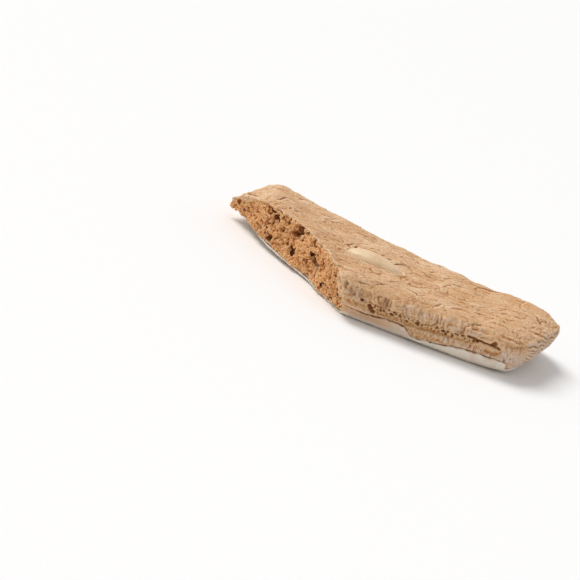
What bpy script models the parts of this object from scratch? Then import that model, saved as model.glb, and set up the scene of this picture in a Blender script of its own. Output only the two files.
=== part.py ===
"""A broken lebkuchen: spiced, porous dough baked on a wafer sheet, with one blanched almond in its crust.

The whole slab is a slightly skewed rectangle. Its front left corner has been snapped off, and the break shows
the crumb between the crust and the wafer. The piece lies on its wafer, which is flat in the middle and curls up
towards both ends. X runs along the slab, Y from the front edge to the back edge, Z up, in metres.
It is laid out from its front right corner, and moved onto the middle of its footprint at the end.
"""

import functools
import math

import bmesh
import bpy
import numpy as np
from mathutils import Vector, noise

# Plan of the whole slab, at the outer face of its sides.
FRONT_RIGHT = (0.001, 0.000)
BACK_RIGHT = (0.0235, 0.0475)
BACK_LEFT = (-0.1115, 0.0865)
FRONT_LEFT = (-0.138, 0.003)
SLAB_LENGTH = 0.138
FRONT_BOW = 0.0025  # the front side bulges out this far in the middle, and the back one in
BACK_BOW = -0.0020
# At each corner the outline is drawn in this far, over this distance.
CORNER_ROUNDING = {FRONT_RIGHT: (0.0035, 0.013), BACK_RIGHT: (0.0100, 0.0205),
                   BACK_LEFT: (0.0105, 0.030), FRONT_LEFT: (0.0035, 0.013)}

# Curl of the underside, which is flat for FLAT_HALF each way from FLAT_MIDDLE.
FLAT_MIDDLE = -0.043
FLAT_HALF = 0.022
CURL_SLOPES = (0.085, 0.115)  # of the left end and of the right one
CURL_BLEND = 0.015

# The side of the slab, from the ground up.
TURN_RADIUS = 0.0050  # the lower edge turns up with this radius, at the wafer's outer face
WAFER_THICKNESS = 0.0006
WAFER_GAP = 0.0003
WAFER_TURN = 80.0  # degrees of that turn that the wafer covers
WAFER_END_INSET = 0.0045  # the dough wraps round the right end, past the wafer
WAFER_LIP = 0.0005  # the wafer sticks out this far from the break
SIDE_LEVELS = ((0.0003, 0.0080), (0.0004, 0.0097), (0.0014, 0.0112))  # inset and height of the crust's side
LEFT_SLANT = 0.0065  # the left end leans in this much further, from SLANT_START up to the crust
SLANT_START = 0.0010
END_LIFT = 0.0026  # the lower edge of the right end is this much higher, but for its front corner
END_LIFT_REACH = 0.010
END_LIFT_CORNER = 0.014

# The crust.
THICKNESS = 0.0152
SIDE_ROLL = 0.010  # the top rounds off over this distance from the long sides
END_ROLL = 0.020  # and over this one from the ends
ROLL_POWER = 2.6
THIN_END = -0.116  # towards here the slab thins, over THIN_REACH, by THIN_SHARE of its height
THIN_REACH = 0.018
THIN_SHARE = 0.50
CRUST_WAVE = 0.0005
CRUST_WAVE_SIZE = 0.018

# The break: where it meets the wafer and where it meets the crust, from the front edge to the back.
BREAK_FOOT = ((-0.0635, -0.006), (-0.0675, 0.005), (-0.0755, 0.016), (-0.0825, 0.026),
              (-0.092, 0.034), (-0.100, 0.045), (-0.1065, 0.058), (-0.117, 0.075))
BREAK_TOP = ((-0.071, -0.006), (-0.0725, 0.004), (-0.076, 0.013), (-0.082, 0.025),
             (-0.090, 0.036), (-0.099, 0.043), (-0.108, 0.053), (-0.122, 0.066))
BREAK_LOW = -0.003
BREAK_HIGH = 0.024
CUT_DEPTH = 0.065
CRAG_HEIGHT = 0.0011
CRAG_SIZE = 0.0042
CRAG_OCTAVES = 3
CRAG_ROUGHNESS = 0.6
FACE_LENGTH = 0.097  # of the break, from the front edge to the back
TANGENT_STEP = 0.02
CAVITIES = ((0.56, 0.68, 0.0042, 0.0030), (0.40, 0.42, 0.0034, 0.0022), (0.33, 0.62, 0.0030, 0.0022),
            (0.62, 0.30, 0.0032, 0.0022), (0.70, 0.72, 0.0028, 0.0018))  # along, up, radius, depth

# The almond.
ALMOND_LENGTH = 0.0225
ALMOND_WIDTH = 0.0105
ALMOND_THICKNESS = 0.0075
ALMOND_PLACE = (-0.0588, 0.0285)
ALMOND_TURN = math.radians(-13.0)
ALMOND_PROUD = 0.0024
ALMOND_FIT = 0.0003
ALMOND_POINTEDNESS = 1.15
ALMOND_TAPER = 0.12  # one end is this much fuller than the middle, and the other one slimmer
DIMPLE_DEPTH = 0.0006
DIMPLE_REACH = 0.010
DIMPLE_START = 0.4  # share of the almond's size at which the crust begins to rise

# How finely the shapes are divided.
SLAB_DIVISIONS = (52, 24)
TURN_STEPS = (25.0, 50.0, 75.0, 90.0)
WAFER_DIVISIONS = (40, 26)
BREAK_DIVISIONS = (60, 14)
ALMOND_DIVISIONS = (28, 18)
FOOT_STEPS = 60
HALVINGS = 20
SHARP_ANGLE = math.radians(50.0)
MIDDLE = 0.5


def clear_scene():
    """Remove every object of the start-up scene."""
    for obj in list(bpy.data.objects):
        bpy.data.objects.remove(obj, do_unlink=True)


def make_material(name, colour, roughness):
    """A Principled material of one colour and roughness."""
    material = bpy.data.materials.new(name)
    material.use_nodes = True
    shader = material.node_tree.nodes["Principled BSDF"]
    shader.inputs["Base Color"].default_value = (*colour, 1.0)
    shader.inputs["Roughness"].default_value = roughness
    shader.inputs["Metallic"].default_value = 0.0
    return material


def make_object(name, mesh_data, material):
    """An object with the bmesh's faces, closed and facing outwards."""
    mesh_data.normal_update()
    bmesh.ops.recalc_face_normals(mesh_data, faces=mesh_data.faces)
    mesh = bpy.data.meshes.new(name)
    mesh_data.to_mesh(mesh)
    mesh_data.free()
    mesh.shade_smooth()
    mesh.set_sharp_from_angle(angle=SHARP_ANGLE)
    mesh.materials.append(material)
    obj = bpy.data.objects.new(name, mesh)
    bpy.context.scene.collection.objects.link(obj)
    return obj


def make_cutter(name, mesh_data, material, target):
    """An object that is cut out of the target and left out of the part."""
    cutter = make_object(name, mesh_data, material)
    cutter.hide_render = True
    cutter.display_type = "WIRE"
    cut = target.modifiers.new(name, "BOOLEAN")
    cut.operation = "DIFFERENCE"
    cut.solver = "EXACT"
    cut.object = cutter
    return cutter


def blend(start, end, amount):
    """A number or a point between two others."""
    return np.asarray(start) * (1 - amount) + np.asarray(end) * amount


def layered_sheet(divisions, layers):
    """A grid of faces from 0 to 1 each way, extruded up through this many layers one unit apart."""
    sheet = bmesh.new()
    bmesh.ops.create_grid(sheet, x_segments=divisions[0], y_segments=divisions[1], size=0.5)
    bmesh.ops.translate(sheet, verts=sheet.verts, vec=(0.5, 0.5, 0.0))
    top = list(sheet.faces)
    for layer in range(layers):
        grown = bmesh.ops.extrude_face_region(sheet, geom=top)["geom"]
        if layer:
            bmesh.ops.delete(sheet, geom=top, context="FACES")
        top = [item for item in grown if isinstance(item, bmesh.types.BMFace)]
        raised = [item for item in grown if isinstance(item, bmesh.types.BMVert)]
        bmesh.ops.translate(sheet, verts=raised, vec=(0.0, 0.0, 1.0))
    return sheet


def place(sheet, where):
    """Move each vertex to where(u, v, layer)."""
    for vertex in sheet.verts:
        u, v, layer = vertex.co
        vertex.co = where(u, v, round(layer))


def underside(x):
    """Height of the wafer's outer face along the slab."""
    past = max(abs(x - FLAT_MIDDLE) - FLAT_HALF, 0.0)
    return CURL_SLOPES[int(x > FLAT_MIDDLE)] * past * past / (past + CURL_BLEND)


def plan_point(u, v):
    """Point of the plan, with u from the left end to the right one and v from the front side to the back one."""
    point = blend(blend(FRONT_LEFT, FRONT_RIGHT, u), blend(BACK_LEFT, BACK_RIGHT, u), v)
    point[1] += 4 * u * (1 - u) * blend(-FRONT_BOW, BACK_BOW, v)
    middle = blend(FRONT_LEFT, BACK_RIGHT, MIDDLE)
    for corner, (pull, reach) in CORNER_ROUNDING.items():
        near = max(1 - np.linalg.norm(point - np.asarray(corner)) / reach, 0.0)
        inwards = (middle - np.asarray(corner)) / np.linalg.norm(middle - np.asarray(corner))
        point += inwards * pull * near**2
    return point


def slab_width(u):
    """Width of the slab from its front side to its back one."""
    left = BACK_LEFT[1] - FRONT_LEFT[1]
    right = BACK_RIGHT[1] - FRONT_RIGHT[1]
    return float(blend(left, right, u))


def inset_plan(u, v, inset, slant):
    """Point of the plan drawn in this much from all sides and more from the left, and its u and v on the full plan."""
    u = float(blend((inset + slant) / SLAB_LENGTH, 1 - inset / SLAB_LENGTH, u))
    v = blend(inset / slab_width(u), 1 - inset / slab_width(u), v)
    return plan_point(u, v), u, v


def ease(amount):
    """A smooth step from 0 to 1."""
    amount = min(max(amount, 0.0), 1.0)
    return amount * amount * (3 - 2 * amount)


def turn(radius, degrees):
    """Inset and height of a point of the lower edge's turn, on this radius."""
    angle = math.radians(degrees)
    return TURN_RADIUS - radius * math.sin(angle), TURN_RADIUS - radius * math.cos(angle)


def almond_frame(x, y):
    """Coordinates along and across the almond."""
    dx, dy = x - ALMOND_PLACE[0], y - ALMOND_PLACE[1]
    along = dx * math.cos(ALMOND_TURN) + dy * math.sin(ALMOND_TURN)
    across = dy * math.cos(ALMOND_TURN) - dx * math.sin(ALMOND_TURN)
    return along, across


def crust_height(point, u, v):
    """Height of the crust above the underside."""
    rise = 1.0
    for share, roll in ((u, END_ROLL / SLAB_LENGTH), (v, SIDE_ROLL / slab_width(u))):
        for distance in (share, 1 - share):
            rise *= 1 - max(1 - distance / roll, 0.0) ** ROLL_POWER
    edge = SIDE_LEVELS[-1][1]
    wave = CRUST_WAVE * noise.noise(Vector((*point, 0.0)) / CRUST_WAVE_SIZE)
    along, across = almond_frame(*point)
    outside = max(math.hypot(along / ALMOND_LENGTH, across / ALMOND_WIDTH) - DIMPLE_START, 0.0)
    dimple = DIMPLE_DEPTH * math.exp(-((outside * ALMOND_WIDTH * 2 / DIMPLE_REACH) ** 2))
    height = edge + (THICKNESS + wave - dimple - edge) * rise
    return height * (1 - THIN_SHARE * ease(1 - (point[0] - THIN_END) / THIN_REACH))


def dough_point(u, v, layer):
    """Point of the whole slab's surface: the underside, then each level of the sides, then the crust."""
    inner = TURN_RADIUS - WAFER_THICKNESS - WAFER_GAP
    levels = [turn(inner, degrees) for degrees in (0.0, *TURN_STEPS)] + list(SIDE_LEVELS)
    inset, height = levels[layer]
    slant = LEFT_SLANT * ease((height - SLANT_START) / (SIDE_LEVELS[-1][1] - SLANT_START))
    point, u, v = inset_plan(u, v, inset, slant)
    top = crust_height(point, u, v)
    if layer == len(levels) - 1:
        height = top
    elif height > TURN_RADIUS:
        squeeze = min((top - TURN_RADIUS) / (SIDE_LEVELS[-1][1] - TURN_RADIUS), 1.0)
        height = blend(TURN_RADIUS, height, squeeze)
    near_end = ease(1 - (1 - u) * SLAB_LENGTH / END_LIFT_REACH) * ease(v * slab_width(u) / END_LIFT_CORNER)
    lift = END_LIFT * near_end * max(1 - height / SIDE_LEVELS[-1][1], 0.0)
    return *point, underside(point[0]) + height + lift


def make_dough(material):
    """The whole slab of dough, before its corner is snapped off."""
    slab = layered_sheet(SLAB_DIVISIONS, len(TURN_STEPS) + len(SIDE_LEVELS))
    place(slab, dough_point)
    return make_object("dough", slab, material)


def along_curve(points, t):
    """Point at t, from 0 to 1, of a smooth curve through the points."""
    knots = len(points) - 1
    span = min(int(t * knots), knots - 1)
    before, start, end, after = (
        np.asarray(points[min(max(k, 0), knots)]) for k in range(span - 1, span + 3)
    )
    s = t * knots - span
    bend = (2 * before - 5 * start + 4 * end - after) * s + (3 * start - before - 3 * end + after) * s * s
    return start + 0.5 * s * (end - before + bend)


def break_point(u, v, layer):
    """Point of the broken face, or of the far side of what is cut away there."""
    z = BREAK_LOW + v * (BREAK_HIGH - BREAK_LOW)
    point = blend(along_curve(BREAK_FOOT, u), along_curve(BREAK_TOP, u), z / THICKNESS)
    ahead, behind = min(u + TANGENT_STEP, 1.0), max(u - TANGENT_STEP, 0.0)
    along = along_curve(BREAK_FOOT, ahead) - along_curve(BREAK_FOOT, behind)
    out = np.array((-along[1], along[0])) / np.linalg.norm(along)
    if layer:
        return *(point + out * CUT_DEPTH), z
    where = Vector((*point, z))
    depth = CRAG_HEIGHT * noise.fractal(where / CRAG_SIZE, CRAG_ROUGHNESS, 2.0, CRAG_OCTAVES)
    for at_u, at_v, radius, sink in CAVITIES:
        away = math.hypot((u - at_u) * FACE_LENGTH, z - at_v * THICKNESS)
        depth += sink * math.exp(-2 * (away / radius) ** 2)
    return *(point - out * depth), z


def almond_point(u, v, grow):
    """Point of the almond's skin, grown by this much, with u round its length and v from tip to tip."""
    along = -math.cos(v * math.pi)
    girth = math.sin(v * math.pi) ** ALMOND_POINTEDNESS * (1 - ALMOND_TAPER * along)
    angle = 2 * math.pi * u
    x = along * (ALMOND_LENGTH / 2 + grow)
    y = math.cos(angle) * girth * (ALMOND_WIDTH / 2 + grow)
    z = math.sin(angle) * girth * (ALMOND_THICKNESS / 2 + grow)
    cos, sin = math.cos(ALMOND_TURN), math.sin(ALMOND_TURN)
    centre = underside(ALMOND_PLACE[0]) + THICKNESS + ALMOND_PROUD - ALMOND_THICKNESS / 2
    return ALMOND_PLACE[0] + x * cos - y * sin, ALMOND_PLACE[1] + x * sin + y * cos, centre + z


def almond_mesh(grow):
    """The closed almond, grown by this much all round."""
    rounds, rows = ALMOND_DIVISIONS
    skin = bmesh.new()
    bmesh.ops.create_uvsphere(skin, u_segments=rounds, v_segments=rows, radius=1.0)
    for vertex in skin.verts:
        x, y, z = vertex.co
        u = math.atan2(y, x) / (2 * math.pi)
        vertex.co = almond_point(u, math.acos(max(min(-z, 1.0), -1.0)) / math.pi, grow)
    return skin


def wafer_point(u, v, layer):
    """Point of the wafer's outer face, or of its inner one, with v from the front edge to the back one."""
    radius = TURN_RADIUS - layer * WAFER_THICKNESS
    flat = slab_width(MIDDLE) - 2 * TURN_RADIUS
    turned = math.radians(WAFER_TURN) * TURN_RADIUS
    distance = v * (flat + 2 * turned) - turned
    past = max(-distance, distance - flat, 0.0)
    inset, height = turn(radius, math.degrees(past / TURN_RADIUS))
    across = inset if distance < flat / 2 else flat + 2 * TURN_RADIUS - inset
    if past == 0.0:
        across = TURN_RADIUS + distance
    end = 1.0 - WAFER_END_INSET / SLAB_LENGTH
    start = foot_share(across / slab_width(MIDDLE)) - WAFER_LIP / SLAB_LENGTH
    u = float(blend(max(start, WAFER_END_INSET / SLAB_LENGTH), end, u))
    stretch = (slab_width(u) - 2 * TURN_RADIUS) / flat
    inside = min(max(across - TURN_RADIUS, 0.0), flat)
    across += inside * (stretch - 1)
    point = plan_point(u, across / slab_width(u))
    return *point, underside(point[0]) + height


@functools.lru_cache
def foot_share(v):
    """The u at which the foot of the break crosses this v of the plan, found by halving."""
    low, high = 0.0, 1.0
    for _ in range(HALVINGS):
        middle = (low + high) / 2
        point = plan_point(middle, v)
        if point[0] < foot_x(point[1]):
            low = middle
        else:
            high = middle
    return high


def foot_x(y):
    """Where the foot of the break is along the slab, at this distance from the front."""
    heights = [along_curve(BREAK_FOOT, step / FOOT_STEPS) for step in range(FOOT_STEPS + 1)]
    return float(np.interp(y, [point[1] for point in heights], [point[0] for point in heights]))


def make_wafer(material):
    """The wafer sheet under the dough, turned up along both long sides."""
    sheet = layered_sheet(WAFER_DIVISIONS, 1)
    place(sheet, wafer_point)
    return make_object("wafer", sheet, material)


def centre_on_footprint(objects):
    """Move the part so that its origin is the bottom centre of its box."""
    parts = [obj for obj in objects if not obj.hide_render]
    graph = bpy.context.evaluated_depsgraph_get()
    corners = []
    for obj in parts:
        mesh = obj.evaluated_get(graph).to_mesh()
        corners += [vertex.co.copy() for vertex in mesh.vertices]
    low = Vector(min(co[axis] for co in corners) for axis in range(3))
    high = Vector(max(co[axis] for co in corners) for axis in range(3))
    middle = Vector(((low.x + high.x) / 2, (low.y + high.y) / 2, low.z))
    for obj in objects:
        obj.location -= middle


def main():
    """Build the dough, the almond and the wafer."""
    clear_scene()
    dough = make_dough(make_material("dough", (0.58, 0.36, 0.20), 0.85))
    snap = layered_sheet(BREAK_DIVISIONS, 1)
    place(snap, break_point)
    crumb = make_material("crumb", (0.47, 0.23, 0.09), 0.9)
    cream = make_material("almond", (0.75, 0.55, 0.36), 0.5)
    snapped = make_cutter("snapped_corner", snap, crumb, dough)
    pocket = make_cutter("almond_pocket", almond_mesh(ALMOND_FIT), crumb, dough)
    almond = make_object("almond", almond_mesh(0.0), cream)
    wafer = make_wafer(make_material("wafer", (0.75, 0.60, 0.45), 0.7))
    bpy.context.view_layer.update()
    centre_on_footprint([dough, snapped, pocket, almond, wafer])


main()
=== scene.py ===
"""Looks of a broken lebkuchen: a crackled crust, a spongy broken face, a blanched almond and a baked wafer.

Meshes are in metres, in the part's own frame. Sizes and places on the slab are in millimetres, and places
are counted from the slab's front right corner: X runs along the slab, and is negative towards the snapped
end, Y runs from the front side, which shows the wafer's rim, to the back one, and Z runs up from the ground.
"""

import itertools
import logging
import math
from dataclasses import dataclass, field
from enum import Enum

import bmesh
import bpy
import numpy as np
from mathutils import Matrix, Vector
from mathutils.bvhtree import BVHTree

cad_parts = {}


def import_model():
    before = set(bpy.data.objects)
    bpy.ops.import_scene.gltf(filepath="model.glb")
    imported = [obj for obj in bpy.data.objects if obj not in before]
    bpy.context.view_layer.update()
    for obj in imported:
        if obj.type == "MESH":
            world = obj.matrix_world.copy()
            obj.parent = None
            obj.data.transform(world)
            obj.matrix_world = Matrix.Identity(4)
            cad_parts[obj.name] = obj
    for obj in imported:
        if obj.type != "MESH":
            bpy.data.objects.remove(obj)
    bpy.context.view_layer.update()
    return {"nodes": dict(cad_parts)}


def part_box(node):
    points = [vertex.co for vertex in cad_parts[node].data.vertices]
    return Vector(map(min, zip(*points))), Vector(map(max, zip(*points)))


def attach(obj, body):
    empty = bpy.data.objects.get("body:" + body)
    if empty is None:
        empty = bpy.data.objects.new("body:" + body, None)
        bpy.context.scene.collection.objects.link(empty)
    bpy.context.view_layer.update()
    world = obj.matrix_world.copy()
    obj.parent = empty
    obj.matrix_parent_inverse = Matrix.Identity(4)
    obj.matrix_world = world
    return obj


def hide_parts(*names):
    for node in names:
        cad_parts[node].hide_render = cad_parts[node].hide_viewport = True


LOG = logging.getLogger("lebkuchen")
MM = 0.001
PHOTO_SIDE = 580  # pixels

Array = np.ndarray
Colour = tuple[float, float, float]


# ---------------------------------------------------------------------------------------------- arithmetic


def step_up(value: Array, low: float, high: float) -> Array:
    """A smooth step that is 0 up to low and 1 from high on."""
    share = np.clip((value - low) / (high - low), 0.0, 1.0)
    return share * share * (3 - 2 * share)


def within(value: Array, low: float, high: float, soft: float) -> Array:
    """1 between low and high, fading out over soft outside them."""
    return step_up(value, low - soft, low) * (1 - step_up(value, high, high + soft))


def unit(vectors: Array) -> Array:
    """The vectors, one a row, at length 1."""
    return vectors / np.maximum(np.linalg.norm(vectors, axis=1, keepdims=True), 1e-12)


def across_faces(points: Array, faces: Array) -> Array:
    """A vector square to each triangle, and twice as long as its area."""
    corners = points[faces]
    return np.cross(corners[:, 1] - corners[:, 0], corners[:, 2] - corners[:, 0])


def point_normals(points: Array, faces: Array) -> Array:
    """Direction of a skin of triangles at each point, and zero where none of them is."""
    across = across_faces(points, faces)
    total = np.zeros_like(points)
    for column in faces.T:
        np.add.at(total, column, across)
    return unit(total)


def follow(plan: Array, stops: Array) -> tuple[Array, Array, Array, Array]:
    """Where plan points lie beside a line of straight runs.

    Args:
        plan: one plan point a row.
        stops: plan points of the line.

    Returns:
        Distance from the line, how far to its left each point is, the plan direction to its left there, and
        how far along the line the point is.
    """
    distance = np.full(len(plan), np.inf)
    side = np.zeros(len(plan))
    left = np.zeros((len(plan), 2))
    along = np.zeros(len(plan))
    before = 0.0
    for start, end in itertools.pairwise(stops):
        length = np.linalg.norm(end - start)
        run = (end - start) / length
        out = np.array((-run[1], run[0]))
        share = np.clip((plan - start) @ run, 0.0, length)
        away = plan - start - share[:, None] * run
        apart = np.linalg.norm(away, axis=1)
        nearer = apart < distance
        distance[nearer] = apart[nearer]
        side[nearer] = (away @ out)[nearer]
        left[nearer] = out
        along[nearer] = (before + share)[nearer]
        before += length
    return distance, side, left, along


class Noise:
    """Smooth noise and cell noise over points in space, the same for the same seed."""

    SIZE = 256

    def __init__(self, seed: int) -> None:
        """Draw the tables.

        Args:
            seed: start of the random draw.
        """
        draw = np.random.default_rng(seed)
        self._order = draw.permutation(self.SIZE)
        self._slopes = unit(draw.normal(size=(self.SIZE, 3)))
        self._seeds = draw.random((self.SIZE, 3))

    def _row(self, cell: Array) -> Array:
        """The table row of each cell."""
        mixed = self._order[cell[:, 0] & (self.SIZE - 1)]
        mixed = self._order[(mixed + cell[:, 1]) & (self.SIZE - 1)]
        return self._order[(mixed + cell[:, 2]) & (self.SIZE - 1)]

    def smooth(self, points: Array, size: float | tuple[float, float, float]) -> Array:
        """Noise from about -1 to 1.

        Args:
            points: one point a row.
            size: distance between the noise's knots, the same each way or one for each axis.

        Returns:
            One value a point.
        """
        scaled = points / np.asarray(size)
        base = np.floor(scaled).astype(np.int64)
        inside = scaled - base
        fade = inside**3 * (inside * (inside * 6 - 15) + 10)
        total = np.zeros(len(points))
        for corner in itertools.product((0, 1), repeat=3):
            weight = np.prod(np.where(corner, fade, 1 - fade), axis=1)
            slope = self._slopes[self._row(base + corner)]
            total += weight * np.einsum("ij,ij->i", slope, inside - corner)
        return total * 1.6

    def layered(self, points: Array, size: float, layers: int = 3) -> Array:
        """Smooth noise with finer layers of it added, each half as large and half as strong."""
        return sum(self.smooth(points + 17.3 * k, size / 2**k) / 2**k for k in range(layers))

    def puffs(self, points: Array, size: float | tuple[float, float, float]) -> Array:
        """Puffs with sharp valleys between them, from 0 in a valley to about 1."""
        return np.minimum(np.abs(self.smooth(points, size)) * 1.7, 1.0) ** 0.7

    def plates(self, points: Array, size: float) -> tuple[Array, Array, Array]:
        """Plates with ragged borders, each of its own level, tilt and shade.

        Args:
            points: one point a row.
            size: how wide the plates are.

        Returns:
            Height on the plate, from about -1 to 1, distance from its border, and its shade, from 0 to 1.
        """
        scaled = points / size
        base = np.floor(scaled).astype(np.int64)
        nearest = np.full(len(points), 9.0)
        second = np.full(len(points), 9.0)
        owner = np.zeros(len(points), np.int64)
        away = np.zeros_like(points)
        for offset in itertools.product((-1, 0, 1), repeat=3):
            cell = base + offset
            row = self._row(cell)
            vector = scaled - cell - self._seeds[row]
            distance = np.linalg.norm(vector, axis=1)
            second = np.minimum(second, np.maximum(nearest, distance))
            closer = distance < nearest
            owner[closer] = row[closer]
            away[closer] = vector[closer]
            nearest = np.minimum(nearest, distance)
        tilt = np.einsum("ij,ij->i", self._slopes[owner], away)
        level = 1.5 * tilt + 0.7 * (self._seeds[owner, 0] - 0.5)
        return level, (second - nearest) * size, self._seeds[owner, 1]


# ---------------------------------------------------------------------------------------------- mesh tools


def read_rows(
    items: bpy.types.bpy_prop_collection, name: str, width: int = 3, kind: type = np.float32
) -> Array:
    """A value of each item of a mesh, as an array with a row for each."""
    flat = np.empty(len(items) * width, kind)
    items.foreach_get(name, flat)
    return flat.reshape(-1, width)


def choose_only(piece: bpy.types.Object) -> None:
    """Select this object alone and make it the active one."""
    bpy.ops.object.select_all(action="DESELECT")
    piece.select_set(True)
    bpy.context.view_layer.objects.active = piece


def finish_with(piece: bpy.types.Object, kind: str, **settings: object) -> None:
    """Add a modifier and apply it.

    Args:
        piece: the object that gets it.
        kind: the modifier's type.
        settings: its values.
    """
    modifier = piece.modifiers.new(kind.title(), kind)
    for name, value in settings.items():
        setattr(modifier, name, value)
    choose_only(piece)
    bpy.ops.object.modifier_apply(modifier=modifier.name)


def copy_node(node: bpy.types.Object, name: str) -> bpy.types.Object:
    """A copy of a CAD node whose loose triangles are merged into one skin.

    Args:
        node: the CAD node.
        name: name of the copy.

    Returns:
        The copy, in the scene.
    """
    piece = bpy.data.objects.new(name, node.data.copy())
    bpy.context.scene.collection.objects.link(piece)
    piece.data.materials.clear()
    choose_only(piece)
    bpy.ops.object.mode_set(mode="EDIT")
    bpy.ops.mesh.select_all(action="SELECT")
    bpy.ops.mesh.remove_doubles(threshold=1e-6)
    bpy.ops.object.mode_set(mode="OBJECT")
    return piece


def thin_out(piece: bpy.types.Object, triangles: int) -> None:
    """Triangulate the piece and collapse edges until it has at most this many triangles."""
    finish_with(piece, "TRIANGULATE")
    count = len(piece.data.polygons)
    if count > triangles:
        finish_with(piece, "DECIMATE", ratio=triangles / count)


def keep_largest_body(piece: bpy.types.Object) -> None:
    """Delete every loose body of the piece but its largest."""
    skin = bmesh.new()
    skin.from_mesh(piece.data)
    skin.verts.ensure_lookup_table()
    todo = set(skin.verts)
    bodies = []
    while todo:
        start = todo.pop()
        body, edge = {start}, [start]
        while edge:
            here = edge.pop()
            for link in here.link_edges:
                other = link.other_vert(here)
                if other in todo:
                    todo.remove(other)
                    body.add(other)
                    edge.append(other)
        bodies.append(body)
    bodies.sort(key=len)
    for body in bodies[:-1]:
        bmesh.ops.delete(skin, geom=list(body), context="VERTS")
    skin.to_mesh(piece.data)
    skin.free()


class Skin:
    """The points of a mesh as arrays, in millimetres from the slab's corner."""

    def __init__(self, piece: bpy.types.Object, corner: Array) -> None:
        """Read the mesh.

        Args:
            piece: the object whose mesh is read.
            corner: the slab's front right corner, in metres.
        """
        self._mesh = piece.data
        self._corner = corner
        self.points = (read_rows(self._mesh.vertices, "co").astype(float) - corner) / MM
        self.normals = read_rows(self._mesh.vertices, "normal").astype(float)
        self._ends = read_rows(self._mesh.edges, "vertices", 2, np.int32)
        self._links = np.bincount(self._ends.ravel(), minlength=len(self.points))

    def spread(self, values: Array, rounds: int) -> Array:
        """Values averaged with those of their neighbours this many times."""
        values = np.array(values, float)
        columns = values.reshape(len(values), -1)
        first, second = self._ends.T
        for _ in range(rounds):
            for column in columns.T:
                total = np.bincount(first, column[second], len(column))
                total += np.bincount(second, column[first], len(column))
                column += 0.5 * (total / self._links - column)
        return columns.reshape(values.shape)

    def hollows(self, rounds: int, full: float) -> Array:
        """How far each point lies below the skin round it.

        Args:
            rounds: how often the skin is averaged, so how wide a hollow counts.
            full: depth of a full hollow, in millimetres.

        Returns:
            One value a point, from -1 on a rise to 1 in a hollow.
        """
        away = self.spread(self.points, rounds) - self.points
        return np.clip(np.einsum("ij,ij->i", away, self.normals) / full, -1.0, 1.0)

    def write(self) -> None:
        """Put the points back in the mesh, and read its new normals."""
        flat = (self.points * MM + self._corner).astype(np.float32).ravel()
        self._mesh.vertices.foreach_set("co", flat)
        self._mesh.update()
        self.normals = read_rows(self._mesh.vertices, "normal").astype(float)

    def mark(self, name: str, values: Array) -> None:
        """Store a value for each point under this name, for the materials."""
        marks = self._mesh.attributes.new(name, "FLOAT", "POINT")
        marks.data.foreach_set("value", np.asarray(values, np.float32))


class Faces:
    """Some faces of a mesh, to measure distances to."""

    def __init__(self, points: Array, faces: Array) -> None:
        """Keep the faces.

        Args:
            points: one point a row, in millimetres.
            faces: three point numbers a row.
        """
        self.points = points
        self.faces = faces
        self._tree = BVHTree.FromPolygons(points.tolist(), faces.tolist())

    def distance(self, points: Array, reach: float) -> Array:
        """Distance from each point to the faces, and reach where it is more than that."""
        found = np.full(len(points), reach)
        for row, point in enumerate(points.tolist()):
            distance = self._tree.find_nearest(point, reach)[3]
            if distance is not None:
                found[row] = distance
        return found

    def nearest(self, point: tuple[float, float, float]) -> Array:
        """The place on the faces that is nearest to this one."""
        return np.array(self._tree.find_nearest(point)[0])

    def sprinkle(self, draw: np.random.Generator, count: int) -> Array:
        """Random points spread evenly over the faces."""
        area = np.linalg.norm(across_faces(self.points, self.faces), axis=1)
        chosen = self.points[self.faces][draw.choice(len(area), count, p=area / area.sum())]
        a, b = draw.random((2, count, 1))
        folded = a + b > 1
        a, b = np.where(folded, 1 - a, a), np.where(folded, 1 - b, b)
        return chosen[:, 0] + a * (chosen[:, 1] - chosen[:, 0]) + b * (chosen[:, 2] - chosen[:, 0])


# ---------------------------------------------------------------------------------------------- the slab


@dataclass
class BreakLine:
    """Plan of the break, half way up, from the front side to the tip at the back."""

    stops: tuple[tuple[float, float], ...] = (
        (-65.5, -3.0), (-71.5, 8.0), (-79.0, 20.0), (-90.5, 34.0), (-100.5, 45.0), (-107.5, 57.0),
        (-118.0, 74.0))

    def measure(self, points: Array) -> tuple[Array, Array, Array]:
        """Where points lie seen from the break.

        Args:
            points: one point a row.

        Returns:
            How far each is in front of the line, the plan direction that the break faces there, and how far
            along the line it is.
        """
        distance, side, facing, along = follow(points[:, :2], np.array(self.stops))
        return np.where(side >= 0, distance, -distance), facing, along


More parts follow.
